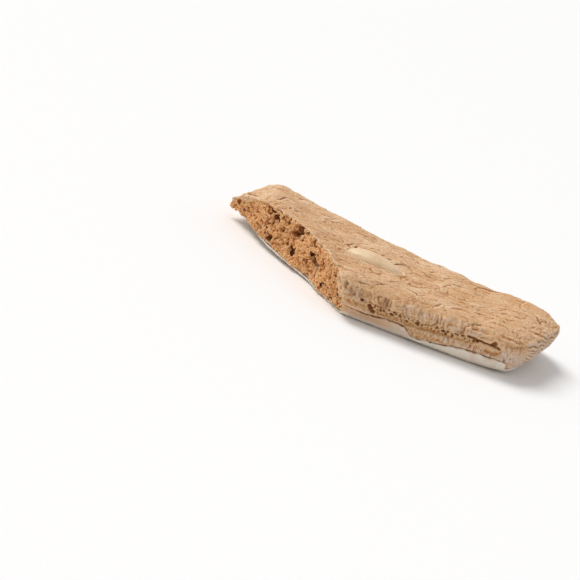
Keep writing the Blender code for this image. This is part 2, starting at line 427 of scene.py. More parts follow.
class Slab:
    """What every piece needs to know of the slab: its corner, its break and the faces round it."""

    REACH = 16.46  # the right end's furthest point, past the front right corner
    BULGE = 0.92  # the front side's furthest point, in front of it
    BREAK_BAND = 6.0  # the broken face is this near to its line in plan
    FACES_OUT = 0.5  # and turned out of it at least this much
    FACES_BACK = 0.1  # and turned to the back side at most this much
    WAFER_RIM = (
        (-70.0, 4.9), (-63.0, 4.5), (-57.0, 4.1), (-52.0, 4.9), (-46.0, 5.4), (-44.0, 5.0),
        (-41.5, 3.4), (-40.0, 2.4), (-37.5, 2.2), (-32.0, 3.1), (-25.0, 4.3), (-18.0, 5.2),
        (-10.0, 5.4), (-7.4, 5.2))  # place, height

    def __init__(self, nodes: dict[str, bpy.types.Object]) -> None:
        """Measure the CAD nodes.

        Args:
            nodes: the CAD nodes by name.
        """
        low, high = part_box("dough")
        self.nodes = nodes
        self.corner = np.array((high[0] - self.REACH * MM, low[1] + self.BULGE * MM, 0.0))
        self.break_line = BreakLine()
        points, faces = self.triangles(nodes["dough"])
        broken = self.is_broken(points, faces)
        self.broken = Faces(points, faces[broken])
        self.baked = Faces(points, faces[~broken])
        self.wafer = Faces(*self.triangles(nodes["wafer"]))
        self.almond = Faces(*self.triangles(nodes["almond"]))

    def is_broken(self, points: Array, faces: Array) -> Array:
        """Which of these faces belong to the break."""
        normals = unit(across_faces(points, faces))
        ahead, facing, _ = self.break_line.measure(points[faces].mean(axis=1))
        outwards = np.einsum("ij,ij->i", normals[:, :2], facing)
        near = np.abs(ahead) < self.BREAK_BAND
        return near & (outwards > self.FACES_OUT) & (normals[:, 1] < self.FACES_BACK)

    def rim_height(self, x: Array) -> Array:
        """Height of the wafer's torn rim along the front side."""
        return np.interp(x, *zip(*self.WAFER_RIM, strict=True))

    def triangles(self, piece: bpy.types.Object) -> tuple[Array, Array]:
        """Points of a mesh, in millimetres from the corner, and its triangles."""
        points = (read_rows(piece.data.vertices, "co").astype(float) - self.corner) / MM
        piece.data.calc_loop_triangles()
        return points, read_rows(piece.data.loop_triangles, "vertices", 3, np.int32)

    def place(self, x: float, y: float, z: float) -> Vector:
        """A place on the slab, in metres in the part's frame."""
        return Vector(np.array((x, y, z)) * MM + self.corner)


# ---------------------------------------------------------------------------------------------- the crust


@dataclass
class Relief:
    """Heights of the crust's swells, puffs and flakes, in millimetres."""

    seed: int = 7
    swell: tuple[float, float] = (15.0, 0.50)  # size and height
    lumps: tuple[float, float] = (7.5, 0.40)
    puffs: tuple[tuple[float, float], ...] = ((6.0, 0.52), (2.8, 0.28), (1.3, 0.16))
    flakes: tuple[tuple[float, float], ...] = ((7.5, 0.36), (3.4, 0.20))
    seam: float = 0.20  # depth of the seam round a flake
    grit: tuple[float, float] = (0.9, 0.10)
    lean: float = 22.0  # degrees from the front side's direction, along which puffs and flakes are stretched
    stretch: float = 2.0

    def __post_init__(self) -> None:
        """Make the noises."""
        self._noise = Noise(self.seed)
        self._warp = [Noise(self.seed + k) for k in (1, 2, 3)]

    def warped(self, points: Array, size: float, amount: float) -> Array:
        """The points pushed about by a smooth noise of this size."""
        return points + amount * np.stack([noise.smooth(points, size) for noise in self._warp], axis=1)

    def swells(self, points: Array) -> Array:
        """Broad waves and lumps."""
        waves = self.swell[1] * self._noise.smooth(points, self.swell[0])
        return waves + self.lumps[1] * self._warp[0].smooth(points, self.lumps[0])

    def crumpled(self, points: Array) -> tuple[Array, Array, Array]:
        """Puffs and overlapping flakes of several sizes, which are stronger in some places than in others.

        Args:
            points: one point a row.

        Returns:
            Height at each point, how deep it is in a seam between flakes, and the shade of its flake.
        """
        along = np.array((math.cos(math.radians(self.lean)), math.sin(math.radians(self.lean)), 0.0))
        drawn = points - (1 - 1 / self.stretch) * (points @ along)[:, None] * along
        bent = self.warped(self.warped(drawn, 6.0, 1.8), 1.9, 0.5)
        height = np.zeros(len(points))
        for k, (size, rise) in enumerate(self.puffs):
            share = 0.2 + 0.8 * step_up(self._warp[k % 3].smooth(points + 50.0, 13.0), -0.4, 0.4)
            height += rise * share * (self._noise.puffs(bent + 7.7 * k, size) - 0.55)
        seams = np.zeros(len(points))
        shades = np.zeros(len(points))
        for k, (size, rise) in enumerate(self.flakes):
            share = step_up(self._warp[k].smooth(points - 20.0, 9.0), -0.45, 0.35)
            level, gap, shade = self._warp[k].plates(bent, size)
            open_here = step_up(self._warp[2 - k].smooth(points, 3.5), -0.1, 0.4)
            seam = share * np.exp(-((gap / 0.34) ** 2)) * open_here
            height += share * rise * level - self.seam * seam
            seams = np.maximum(seams, seam)
            shades += shade / len(self.flakes)
        return height, seams, shades

    def grit_height(self, points: Array) -> Array:
        """Fine roughness."""
        return self.grit[1] * self._noise.layered(points, self.grit[0], 2)


@dataclass
class Cracks:
    """The cracks in the top: the ones that stand out, at their places, and small ones strewn between them."""

    seed: int = 19
    deep: tuple[tuple[float, ...], ...] = (
        (-113.5, 61.5, -110.0, 60.5, -106.0, 55.0), (-68.5, 33.5, -69.5, 37.5),
        (-67.0, 34.0, -66.0, 38.0), (-70.0, 32.5, -73.0, 36.0), (-50.5, 30.5, -47.5, 31.5),
        (-49.0, 28.5, -45.0, 29.0), (-46.0, 10.5, -42.5, 8.5, -39.5, 5.0),
        (-21.5, 13.0, -18.0, 14.0, -15.5, 14.0), (-15.5, 12.0, -13.0, 12.5), (-10.0, 13.0, -7.5, 12.0),
        (-3.5, 24.0, -1.5, 22.5), (3.5, 33.5, 5.5, 31.5, 8.0, 27.0), (-12.5, 19.5, -9.5, 17.5),
        (-99.5, 51.5, -96.0, 58.0, -92.0, 58.5), (-70.5, 35.0, -65.5, 41.5), (-54.0, 37.0, -52.0, 37.5),
        (-51.0, 34.5, -48.0, 37.0), (-28.0, 35.5, -24.0, 36.5), (-1.5, 33.0, 1.5, 33.0),
        (-61.0, 7.0, -55.5, 5.5))
    fine: tuple[tuple[float, ...], ...] = (
        (-37.0, 16.0, -30.5, 17.0), (-36.5, 3.5, -32.5, 8.5), (-31.0, 9.0, -27.0, 12.5, -24.0, 14.5),
        (-37.5, 31.5, -35.5, 31.5), (-48.0, 43.0, -44.0, 42.5), (-42.5, 7.5, -39.0, 11.0),
        (-41.0, 20.5, -38.5, 19.0), (-57.0, 5.0, -55.0, 6.5), (-52.5, 10.0, -49.0, 12.5),
        (-47.0, 23.0, -44.0, 23.0), (-24.5, 45.5, -21.5, 47.5), (-20.0, 34.0, -14.0, 35.5),
        (-24.0, 25.0, -23.0, 24.0), (-19.5, 18.5, -17.0, 20.0), (-7.5, 33.5, -6.5, 34.0),
        (-10.5, 26.5, -8.5, 28.0), (-10.0, 22.5, -7.0, 23.0), (-15.5, 11.5, -12.5, 12.5),
        (-15.0, 4.0, -13.0, 4.0), (-21.0, 1.0, -19.0, 1.5), (-90.0, 62.0, -85.5, 62.0),
        (-93.5, 47.0, -90.0, 49.5), (-80.0, 55.5, -75.0, 61.5), (-77.0, 54.0, -72.0, 53.0),
        (-68.5, 58.5, -67.0, 58.0), (-81.0, 27.0, -77.0, 31.5), (-78.0, 17.5, -74.0, 17.5),
        (-82.5, 32.5, -80.5, 33.0), (-72.5, 39.5, -71.0, 37.5), (-65.5, 2.0, -60.5, 2.5),
        (-54.0, 10.0, -49.0, 14.5), (-70.5, 33.0, -75.5, 33.0), (-70.0, 31.5, -73.0, 28.5))
    deep_depth: float = 0.78
    fine_depth: float = 0.42
    width: float = 0.34
    plan: tuple[tuple[float, float], tuple[float, float]] = ((-115, 18), (2, 84))  # where small ones lie
    small_count: int = 45
    small_length: tuple[float, float] = (1.5, 5.0)
    small_depth: tuple[float, float] = (0.15, 0.4)
    small_lean: float = 20.0  # degrees from the front side's direction
    small_spread: float = 35.0  # degrees
    small_runs: int = 3
    small_bend: float = 0.35  # radians
    wobble: tuple[float, float] = (1.6, 0.35)  # size and amount
    reach: float = 2.5
    lip: tuple[float, float] = (0.9, 0.55)  # width, and share of the depth

    def carve(self, points: Array) -> tuple[Array, Array]:
        """Cut all the cracks.

        Args:
            points: one point a row.

        Returns:
            Height at each point, and how deep in a crack it is, from 0 to 1.
        """
        height = np.zeros(len(points))
        depth = np.zeros(len(points))
        draw = np.random.default_rng(self.seed)
        cracks = [(np.array(stops).reshape(-1, 2), self.deep_depth) for stops in self.deep]
        cracks += [(np.array(stops).reshape(-1, 2), self.fine_depth) for stops in self.fine]
        for _ in range(self.small_count):
            stops = [np.array((draw.uniform(*self.plan[0]), draw.uniform(*self.plan[1])))]
            angle = math.radians(draw.normal(self.small_lean, self.small_spread))
            length = draw.uniform(*self.small_length)
            for _ in range(self.small_runs):
                angle += draw.normal(0.0, self.small_bend)
                run = length / self.small_runs * np.array((math.cos(angle), math.sin(angle)))
                stops.append(stops[-1] + run)
            cracks.append((np.array(stops), draw.uniform(*self.small_depth)))
        wobble = np.stack([Noise(self.seed + k).smooth(points, self.wobble[0]) for k in range(2)], axis=1)
        plan = points[:, :2] + self.wobble[1] * wobble
        for stops, deepest in cracks:
            self._cut(plan, stops, deepest, height, depth)
        return height, np.clip(depth / self.deep_depth, 0.0, 1.0)

    def _cut(self, plan: Array, stops: Array, deepest: float, height: Array, depth: Array) -> None:
        """Cut one crack: a cleft with one edge raised over the other.

        Args:
            plan: one plan point a row.
            stops: plan points of the crack.
            deepest: its greatest depth.
            height: heights, which it lowers and raises.
            depth: depths, which it adds to.
        """
        low, high = stops.min(axis=0) - self.reach, stops.max(axis=0) + self.reach
        rows = np.flatnonzero(((plan > low) & (plan < high)).all(axis=1))
        distance, side, _, along = follow(plan[rows], stops)
        length = sum(np.linalg.norm(end - start) for start, end in itertools.pairwise(stops))
        taper = np.sin(np.clip(along / length, 0.03, 0.97) * math.pi) ** 0.5
        cleft = deepest * taper * np.exp(-((distance / self.width) ** 2))
        lip = self.lip[1] * deepest * taper * np.where(side > 0, np.exp(-distance / self.lip[0]), 0.0)
        height[rows] += lip - cleft
        depth[rows] = np.maximum(depth[rows], cleft)


@dataclass
class FrontSide:
    """The front side over the wafer: a dusky patch, folds over a row of pores, a crease, and teeth below."""

    seed: int = 21
    pore_line: tuple[tuple[float, float], ...] = (
        (-60.0, 7.2), (-52.0, 7.4), (-40.0, 8.0), (-30.0, 8.7), (-18.0, 9.6))
    pore_count: int = 30
    pore_radius: tuple[float, float] = (0.36, 0.62)
    small_pores: int = 80
    small_radius: tuple[float, float] = (0.16, 0.30)
    pore_depth: float = 1.1
    pore_spread: float = 0.65
    pore_run: tuple[float, float] = (-57.0, -17.0)
    band_run: tuple[float, float] = (-57.0, -20.0)
    band: tuple[float, float] = (-1.5, 1.4)  # from under the pore line to over it
    band_recess: float = 0.55
    folds_run: tuple[float, float] = (-57.0, -12.0)
    folds: tuple[float, float] = (1.4, 4.6)  # over the pore line
    lump_size: tuple[float, float, float] = (4.6, 5.0, 3.4)
    lump_height: float = 0.95
    fold_size: tuple[float, float, float] = (1.5, 5.0, 5.5)
    fold_height: float = 0.50
    teeth_run: tuple[float, float] = (-70.0, -6.0)
    teeth_size: tuple[float, float, float] = (1.5, 5.0, 4.5)
    teeth_height: float = 0.36
    over_rim: float = 0.75  # how far the dough swells out over the wafer's rim
    over_rim_run: tuple[float, float] = (-72.0, -7.0)
    crease: tuple[tuple[float, float], ...] = ((-21.0, 10.2), (-16.0, 10.1), (-9.3, 9.7))
    crease_depth: float = 1.3
    crease_width: float = 0.42
    corner_run: tuple[float, float] = (-7.5, 5.0)
    corner_top: tuple[float, float] = (8.0, 12.0)
    streak_size: tuple[float, float, float] = (1.0, 1.0, 4.0)
    patch_run: tuple[float, float] = (-69.0, -61.0)
    patch: tuple[float, float] = (8.5, 11.5)  # from its foot to its top
    speck_run: tuple[float, float] = (-67.0, -61.5)
    specks: tuple[float, float] = (8.5, 11.8)
    # holes: place, height and radius; their dark is painted shade
    dark_spots: tuple[tuple[float, float, float], ...] = (
        (-57.8, 7.4, 0.8), (-57.0, 6.6, 0.7), (-56.0, 5.9, 0.6), (-61.0, 8.8, 0.6), (-11.6, 10.6, 0.9))

    def __post_init__(self) -> None:
        """Make the noises."""
        self._noise = Noise(self.seed)
        self._other = Noise(self.seed + 1)

    def carve(self, points: Array, rim: Array) -> tuple[Array, dict[str, Array]]:
        """Shape the front side.

        Args:
            points: one point a row.
            rim: height of the wafer's rim at each point.

        Returns:
            Height at each point, and masks for the material, by name.
        """
        x, _, z = points.T
        noise, other = self._noise, self._other
        sway = 2.6 * noise.smooth(points, 5.0) + 0.9 * other.smooth(points + 3.0, 2.2)
        bent = points + np.stack([sway, 0 * x, 1.2 * other.smooth(points, 5.0)], axis=1)
        line = np.interp(x, *zip(*self.pore_line, strict=True)) + 0.5 * noise.smooth(points, 4.0)
        band = within(x, *self.band_run, 4.0) * within(z, line + self.band[0], line + self.band[1], 0.7)
        height = -self.band_recess * band + 0.16 * band * noise.puffs(points, 0.9)

        folds = within(x, *self.folds_run, 4.0) * within(z, line + self.folds[0], line + self.folds[1], 1.4)
        ridges = 1 - 2 * np.abs(other.smooth(bent, self.fold_size))
        lumps = noise.smooth(bent + (0.0, 0.0, 60.0), self.lump_size)
        height += folds * (self.lump_height * lumps + self.fold_height * ridges * step_up(sway, -1.6, 0.8))

        teeth = within(x, *self.teeth_run, 2.0) * (1 - step_up(z, line - 2.4, line - 1.2))
        lobes = noise.puffs(points + (0.0, 0.0, 20.0) + 0.5 * bent, self.teeth_size)
        lobes = lobes * (0.75 + 0.45 * other.smooth(points - 30.0, 2.2))
        height += self.teeth_height * teeth * (lobes - 0.45)
        swell = self.over_rim * step_up(z - rim, -0.3, 0.6) * (1 - step_up(z, 5.4, 7.2))
        height += swell * within(x, *self.over_rim_run, 1.0)

        dark = self._pores(points)
        run = np.interp(x, *zip(*self.crease, strict=True)) + 0.25 * other.smooth(points, 1.6)
        left, right = self.crease[0][0], self.crease[-1][0]
        slit = within(x, left, right, 1.0) * np.exp(-(((z - run) / self.crease_width) ** 2))
        height -= self.pore_depth * dark + self.crease_depth * slit
        height += 0.5 * within(x, left - 1.0, right + 0.3, 2.0) * within(z, run + 0.6, run + 2.2, 0.7)

        corner = within(x, *self.corner_run, 1.5) * (1 - step_up(z, *self.corner_top))
        streaks = other.puffs(points + 11.0, self.streak_size)
        height += 0.35 * corner * (streaks - 0.5)
        patch = within(x, *self.patch_run, 4.5) * within(z, *self.patch, 3.0)
        patch *= step_up(other.smooth(points, 3.4), -0.7, 0.3)
        pits = patch * step_up(-other.smooth(points, 1.2), 0.25, 0.6)
        height += patch * (0.35 * noise.layered(points, 1.3, 2)) - 0.45 * pits

        specks = within(x, *self.speck_run, 1.0) * within(z, *self.specks, 0.8)
        specks *= step_up(noise.smooth(points, 0.9), 0.25, 0.55)
        white = 0.45 + 0.45 * step_up(x, -36.0, -28.0)
        flour = np.maximum(0.9 * specks, white * teeth * step_up(lobes, 0.25, 0.9))
        flour = np.maximum(flour, 0.5 * within(x, -44.0, -19.0, 6.0) * folds * step_up(ridges, 0.35, 1.0))
        flour = np.maximum(flour, 0.95 * corner * step_up(streaks, -0.1, 0.6))
        # the dusky patch's own tone, with painted shade in the valleys between the fold lumps and between the
        # teeth
        dusk_and_valley_shade = patch * (0.62 + 0.6 * noise.smooth(points, 1.5))
        dusk_and_valley_shade = np.maximum(dusk_and_valley_shade, 0.6 * folds * step_up(-lumps, -0.1, 0.5))
        dusk_and_valley_shade = np.maximum(dusk_and_valley_shade, 0.4 * teeth * (1 - step_up(lobes, 0.1, 0.5)))
        # painted shade in the crease and the pits, with that in the pores
        dark = np.maximum(np.maximum(dark, 0.8 * slit), 0.45 * pits)
        dusk_and_valley_shade = np.clip(dusk_and_valley_shade, 0.0, 1.0) * (1 - flour)
        return height, {"pore": dark, "flour": flour, "dusk_and_valley_shade": dusk_and_valley_shade, "band": band}

    def _pores(self, points: Array) -> Array:
        """How deep in a pore or a dark spot each point is, from 0 to 1, which sets the painted shade in these
        holes.
        """
        draw = np.random.default_rng(self.seed)
        x, _, z = points.T
        dark = np.zeros(len(points))
        for count, radii in ((self.pore_count, self.pore_radius), (self.small_pores, self.small_radius)):
            for place in draw.uniform(*self.pore_run, count):
                middle = np.interp(place, *zip(*self.pore_line, strict=True))
                middle += draw.normal(0.0, self.pore_spread)
                radius = draw.uniform(*radii)
                away = np.hypot(x - place, (z - middle) * draw.uniform(0.75, 1.2))
                dark = np.maximum(dark, draw.uniform(0.6, 1.0) * np.exp(-((away / radius) ** 4)))
        for place, middle, radius in self.dark_spots:
            away = np.hypot((x - place) / 1.2, z - middle) + 0.35 * self._noise.smooth(points, 1.1)
            dark = np.maximum(dark, np.exp(-((away / radius) ** 4)))
        return dark


@dataclass
class RightEnd:
    """The right end, with wrinkles that follow its outline one behind the other, and a low floury corner."""

    seed: int = 33
    run: tuple[float, float] = (22.5, 47.5)  # plan direction of the end
    spacing: float = 1.25
    wrinkle_height: float = 0.60
    reach: tuple[float, float] = (4.0, 11.0)
    furthest: tuple[float, float] = (9.0, 14.0)
    wide_waves: tuple[tuple[float, float, float], float] = ((8.0, 8.0, 7.0), 1.3)  # sizes and height
    small_waves: tuple[float, float] = (2.6, 0.35)
    top: tuple[float, float] = (7.0, 12.0)  # its low part ends here
    corner: tuple[float, float] = (3.0, 9.0)  # its corner ends this far from the front side
    # holes: place and radius; their dark is painted shade
    dark_spots: tuple[tuple[float, float, float, float], ...] = (
        (-1.5, 2.5, 10.5, 0.9), (-0.3, 4.0, 9.6, 0.8), (0.8, 6.2, 9.8, 0.7), (5.0, 17.5, 13.5, 0.6))

    def carve(self, points: Array, normals: Array) -> tuple[Array, dict[str, Array]]:
        """Shape the end.

        Args:
            points: one point a row.
            normals: directions of the skin there.

        Returns:
            Height at each point, and masks for the material, by name.
        """
        noise = Noise(self.seed)
        run = unit(np.array((self.run,)))[0]
        depth = -(points[:, :2] @ (run[1], -run[0]))
        outwards = normals[:, :2] @ (run[1], -run[0])
        near = np.maximum(1 - step_up(depth, *self.reach), step_up(outwards, 0.2, 0.6))
        near = near * step_up(-depth, -self.furthest[1], -self.furthest[0])
        (wide, much), (small, little) = self.wide_waves, self.small_waves
        level = (0.75 * depth - points[:, 2]) / self.spacing + much * noise.smooth(points, wide)
        level += little * noise.smooth(points + 40.0, small)
        wave = np.sqrt(np.abs(np.mod(level, 1.0) - 0.5) * 2)
        share = near * (0.15 + 0.85 * step_up(noise.smooth(points + 9.0, 4.0), -0.5, 0.5))
        share *= 0.4 + 0.6 * step_up(outwards, 0.1, 0.5)
        side = step_up(outwards, 0.3, 0.7) * near
        low = 1 - step_up(points[:, 2], *self.top)
        corner = 1 - step_up(points[:, 1], *self.corner)
        height = self.wrinkle_height * share * (wave - 0.65)
        flour = np.maximum(side * (0.70 + 0.30 * low), 0.40 * share) * step_up(wave, 0.45, 0.9)
        flour = np.maximum(flour, low * corner * side * step_up(noise.layered(points, 1.5, 2), -0.8, 0.2))
        # painted shade in small holes in the end, which are also carved
        dark = np.zeros(len(points))
        for x, y, z, radius in self.dark_spots:
            away = np.linalg.norm(points - (x, y, z), axis=1) + 0.45 * noise.smooth(points, 1.1)
            dark = np.maximum(dark, np.exp(-((np.maximum(away, 0.0) / radius) ** 4)))
        # painted shade in the valleys between the wrinkles on the end's side
        dusk_and_valley_shade = side * (1 - step_up(wave, 0.3, 0.75))
        return height - 0.7 * dark, {"flour": flour * (1 - dark), "pore": 0.7 * dark, "dusk_and_valley_shade": dusk_and_valley_shade}


@dataclass
class Around:
    """What lies round each point of the crust: the way that the break faces in plan, and distances."""

    facing: Array
    from_break: Array
    from_baked: Array  # from the baked faces, for points on the broken one
    from_wafer: Array
    from_almond: Array


@dataclass
class Crust:
    """The baked skin of the dough: everything but the broken face, which is hollowed out for the crumb."""

    name: str = "crust"
    voxel: float = 0.32
    triangles: int = 196_000
    lip: float = 0.50  # thickness of the skin at its broken edge
    hollow: float = 3.0  # how far the dough is set back behind that edge
    hollow_curds: tuple[float, float] = (1.3, 1.3)  # size and height
    hollow_seed: int = 78
    blur_seed: int = 77
    ragged: float = 0.45
    window: tuple[float, float, float] = (-109.5, 57.0, 12.5)  # near the tip, where the broken skin is thick
    window_size: float = 3.2
    window_lip: float = 1.9
    near_break: float = 8.0
    far: float = 9.0  # distances from the break are measured up to this
    reach: float = 3.0  # and those from the wafer and the almond up to this
    on_break: float = 0.25
    turned_up: float = 0.4  # a skin that faces up more than this isn't on the wafer
    floor_of_relief: tuple[float, float] = (-0.3, 1.5)  # lowest at the break, and how much lower behind it
    clear_of_wafer: tuple[float, float] = (0.6, 1.4)  # the relief begins and is full this far from the wafer
    rise_from_wafer: tuple[float, float] = (0.9, 2.2)  # and so do its rises
    clear_of_almond: tuple[float, float] = (0.25, 0.9)
    collar: tuple[float, float, float] = (0.5, 1.3, 0.35)  # from, to and height, round the almond
    almond_contact_shade: tuple[float, float] = (0.55, 0.75)  # width and strength of the painted shade line round the almond
    clefts: tuple[int, float] = (8, 0.085)  # rounds of spreading, and the depth of a full one
    hollows: tuple[int, float] = (40, 0.30)
    relief: Relief = field(default_factory=Relief)
    cracks: Cracks = field(default_factory=Cracks)
    front_side: FrontSide = field(default_factory=FrontSide)
    right_end: RightEnd = field(default_factory=RightEnd)

    def build(self, slab: Slab) -> bpy.types.Object:
        """Make the crust from the CAD dough.

        Args:
            slab: the slab that it is part of.

        Returns:
            The finished piece, without its material.
        """
        piece = copy_node(slab.nodes["dough"], self.name)
        finish_with(piece, "REMESH", mode="VOXEL", voxel_size=self.voxel * MM)
        skin = Skin(piece, slab.corner)
        marks = self._shape(skin, slab)
        skin.write()
        # hollows and rises of the skin, for painted shade in the hollows and painted light on the rises
        marks["cleft"] = skin.hollows(*self.clefts)
        marks["hollow"] = skin.hollows(*self.hollows)
        for name, values in marks.items():
            skin.mark(name, values)
        thin_out(piece, self.triangles)
        piece.data.shade_smooth()
        return piece

    def _shape(self, skin: Skin, slab: Slab) -> dict[str, Array]:
        """Raise the relief, and set the broken face back behind its edge.

        Args:
            skin: the points of the crust, which it moves.
            slab: the slab.

        Returns:
            Values for the material, by name.
        """
        points = skin.points
        normals = unit(skin.spread(skin.normals, 4))
        around = self._look_round(points, normals, slab)
        rim = slab.rim_height(points[:, 0])
        over_rim = (points[:, 1] < 3.0) * step_up(-normals[:, 1], 0.1, 0.4)
        over_rim = over_rim * step_up(points[:, 2] - rim, -0.3, 0.5)
        bare = np.maximum(step_up(around.from_wafer, *self.clear_of_wafer), over_rim)
        baked = 1 - step_up(around.from_baked, 0.05, 0.4)
        blur = Noise(self.blur_seed).smooth(points, 3.0)
        top = step_up(normals[:, 2] + 0.15 * blur, 0.15, 0.6)
        front = step_up(-normals[:, 1] + 0.2 * blur, 0.35, 0.75) * (1 - step_up(points[:, 1], 4.0, 7.0))
        front *= step_up(around.from_break, 0.2, 0.9)
        open_top = top * step_up(around.from_almond, 0.4, 1.2)
        crumple, seam, shade = self.relief.crumpled(points)
        height = self.relief.swells(points)
        height += crumple * (1 - 0.5 * front)
        carved, crack = self.cracks.carve(points)
        height += carved * open_top
        front_height, front_masks = self.front_side.carve(points, rim)
        height += front_height * front
        end_height, end_masks = self.right_end.carve(points, normals)
        height += end_height * (1 - front)
        height += self.relief.grit_height(points)
        height *= bare * baked * step_up(around.from_almond, *self.clear_of_almond)
        height += self.collar[2] * within(around.from_almond, *self.collar[:2], 0.6) * top
        rise = np.maximum(step_up(around.from_wafer, *self.rise_from_wafer), over_rim)
        height = np.where(height > 0, height * rise, height)
        lowest, lower = self.floor_of_relief
        height = np.maximum(height, lowest - lower * step_up(around.from_break, 1.0, 4.5))
        skin.points = points + normals * height[:, None]
        skin.points[:, :2] -= around.facing * self._set_back(points, around)[:, None]
        lip = self._lip(points)
        marks = {
            # painted shade in the cracks
            "crack": crack * open_top,
            "seam": seam * bare * baked,
            "shade": shade,
            "band": front_masks["band"] * front,
            "front": front,
            # painted shade: the face set back behind the crumb is marked to be dark
            "inside": step_up(around.from_baked, lip * 0.8, lip * 0.8 + self.lip),
        }
        for name, mask in end_masks.items():
            marks[name] = np.clip(np.maximum(front_masks[name] * front, mask * (1 - front)), 0.0, 1.0) * bare
        # painted shade: a dark line round the almond, where the crust meets it, laid into the crack mark
        edge = np.exp(-((around.from_almond / self.almond_contact_shade[0]) ** 2))
        edge = edge * step_up(self.relief.swells(points * 1.7), -0.5, 0.2) * top
        marks["crack"] = np.maximum(marks["crack"], self.almond_contact_shade[1] * edge)
        return marks

    def _look_round(self, points: Array, normals: Array, slab: Slab) -> Around:
        """Measure what lies round each point.

        Args:
            points: one point a row.
            normals: directions of the skin there.
            slab: the slab.

        Returns:
            The distances, and the way that the break faces.
        """
        ahead, facing, _ = slab.break_line.measure(points)
        near = np.flatnonzero(np.abs(ahead) < self.near_break)
        from_break = np.full(len(points), self.far)
        from_break[near] = slab.broken.distance(points[near], self.far)
        face = near[from_break[near] < self.on_break]
        from_baked = np.zeros(len(points))
        from_baked[face] = slab.baked.distance(points[face], self.far)
        low = np.flatnonzero(normals[:, 2] < self.turned_up)
        from_wafer = np.full(len(points), self.reach)
        from_wafer[low] = slab.wafer.distance(points[low], self.reach)
        return Around(facing, from_break, from_baked, from_wafer, slab.almond.distance(points, self.reach))

    def _lip(self, points: Array) -> Array:
        """Thickness of the skin at its broken edge, which is greater at the window."""
        from_window = np.linalg.norm(points - self.window, axis=1) / self.window_size
        return self.lip + self.window_lip * np.exp(-(from_window**4))

    def _set_back(self, points: Array, around: Around) -> Array:
        """How far each point is moved back from the break, to hollow the crust out behind a ragged edge.

        Args:
            points: one point a row.
            around: what lies round them.

        Returns:
            One length a point.
        """
        lip = self._lip(points)
        back = self.hollow * step_up(around.from_baked, lip * 0.7, lip * 0.7 + self.lip * 1.9)
        rough = self.ragged * self.relief.crumpled(points * 2.2 + 40.0)[0]
        torn = np.clip(0.25 + 1.6 * rough, -0.2, 0.9) * (1 - step_up(around.from_break, 0.2, 1.2))
        back += torn * (around.from_baked < lip)
        back *= step_up(-around.from_break, -0.9, -0.2)
        deep = step_up(around.from_baked, 1.2, 2.2)
        size, rise = self.hollow_curds
        return back - rise * deep * Noise(self.hollow_seed).puffs(points, size)


# ---------------------------------------------------------------------------------------------- the crumb


@dataclass
class Balls:
    """Many small stretched balls, joined into one closed skin: grains of crumb, or bubbles between them."""

    name: str
    centres: Array
    radii: Array
    axes: Array
    stretch: Array

    def build(self, corner: Array, voxel: float) -> bpy.types.Object:
        """Make the balls.

        Args:
            corner: the slab's corner, in metres.
            voxel: how fine their joined skin is, in millimetres.

        Returns:
            The joined balls.
        """
        bpy.ops.object.select_all(action="DESELECT")
        bpy.ops.mesh.primitive_ico_sphere_add(subdivisions=2, radius=1.0)
        piece = bpy.context.active_object
        piece.name = self.name
        ball = np.array([vertex.co for vertex in piece.data.vertices])
        sides = np.array([face.vertices for face in piece.data.polygons])
        lean = (ball @ self.axes.T).T[:, :, None] * self.axes[:, None, :]
        balls = ball + (self.stretch - 1)[:, None, None] * lean
        skins = self.centres[:, None] + self.radii[:, None, None] * balls
        faces = sides[None] + (np.arange(len(self.centres)) * len(ball))[:, None, None]
        mesh = bpy.data.meshes.new(self.name)
        mesh.from_pydata((skins.reshape(-1, 3) * MM + corner).tolist(), [], faces.reshape(-1, 3).tolist())
        piece.data = mesh
        finish_with(piece, "REMESH", mode="VOXEL", voxel_size=voxel * MM)
        return piece


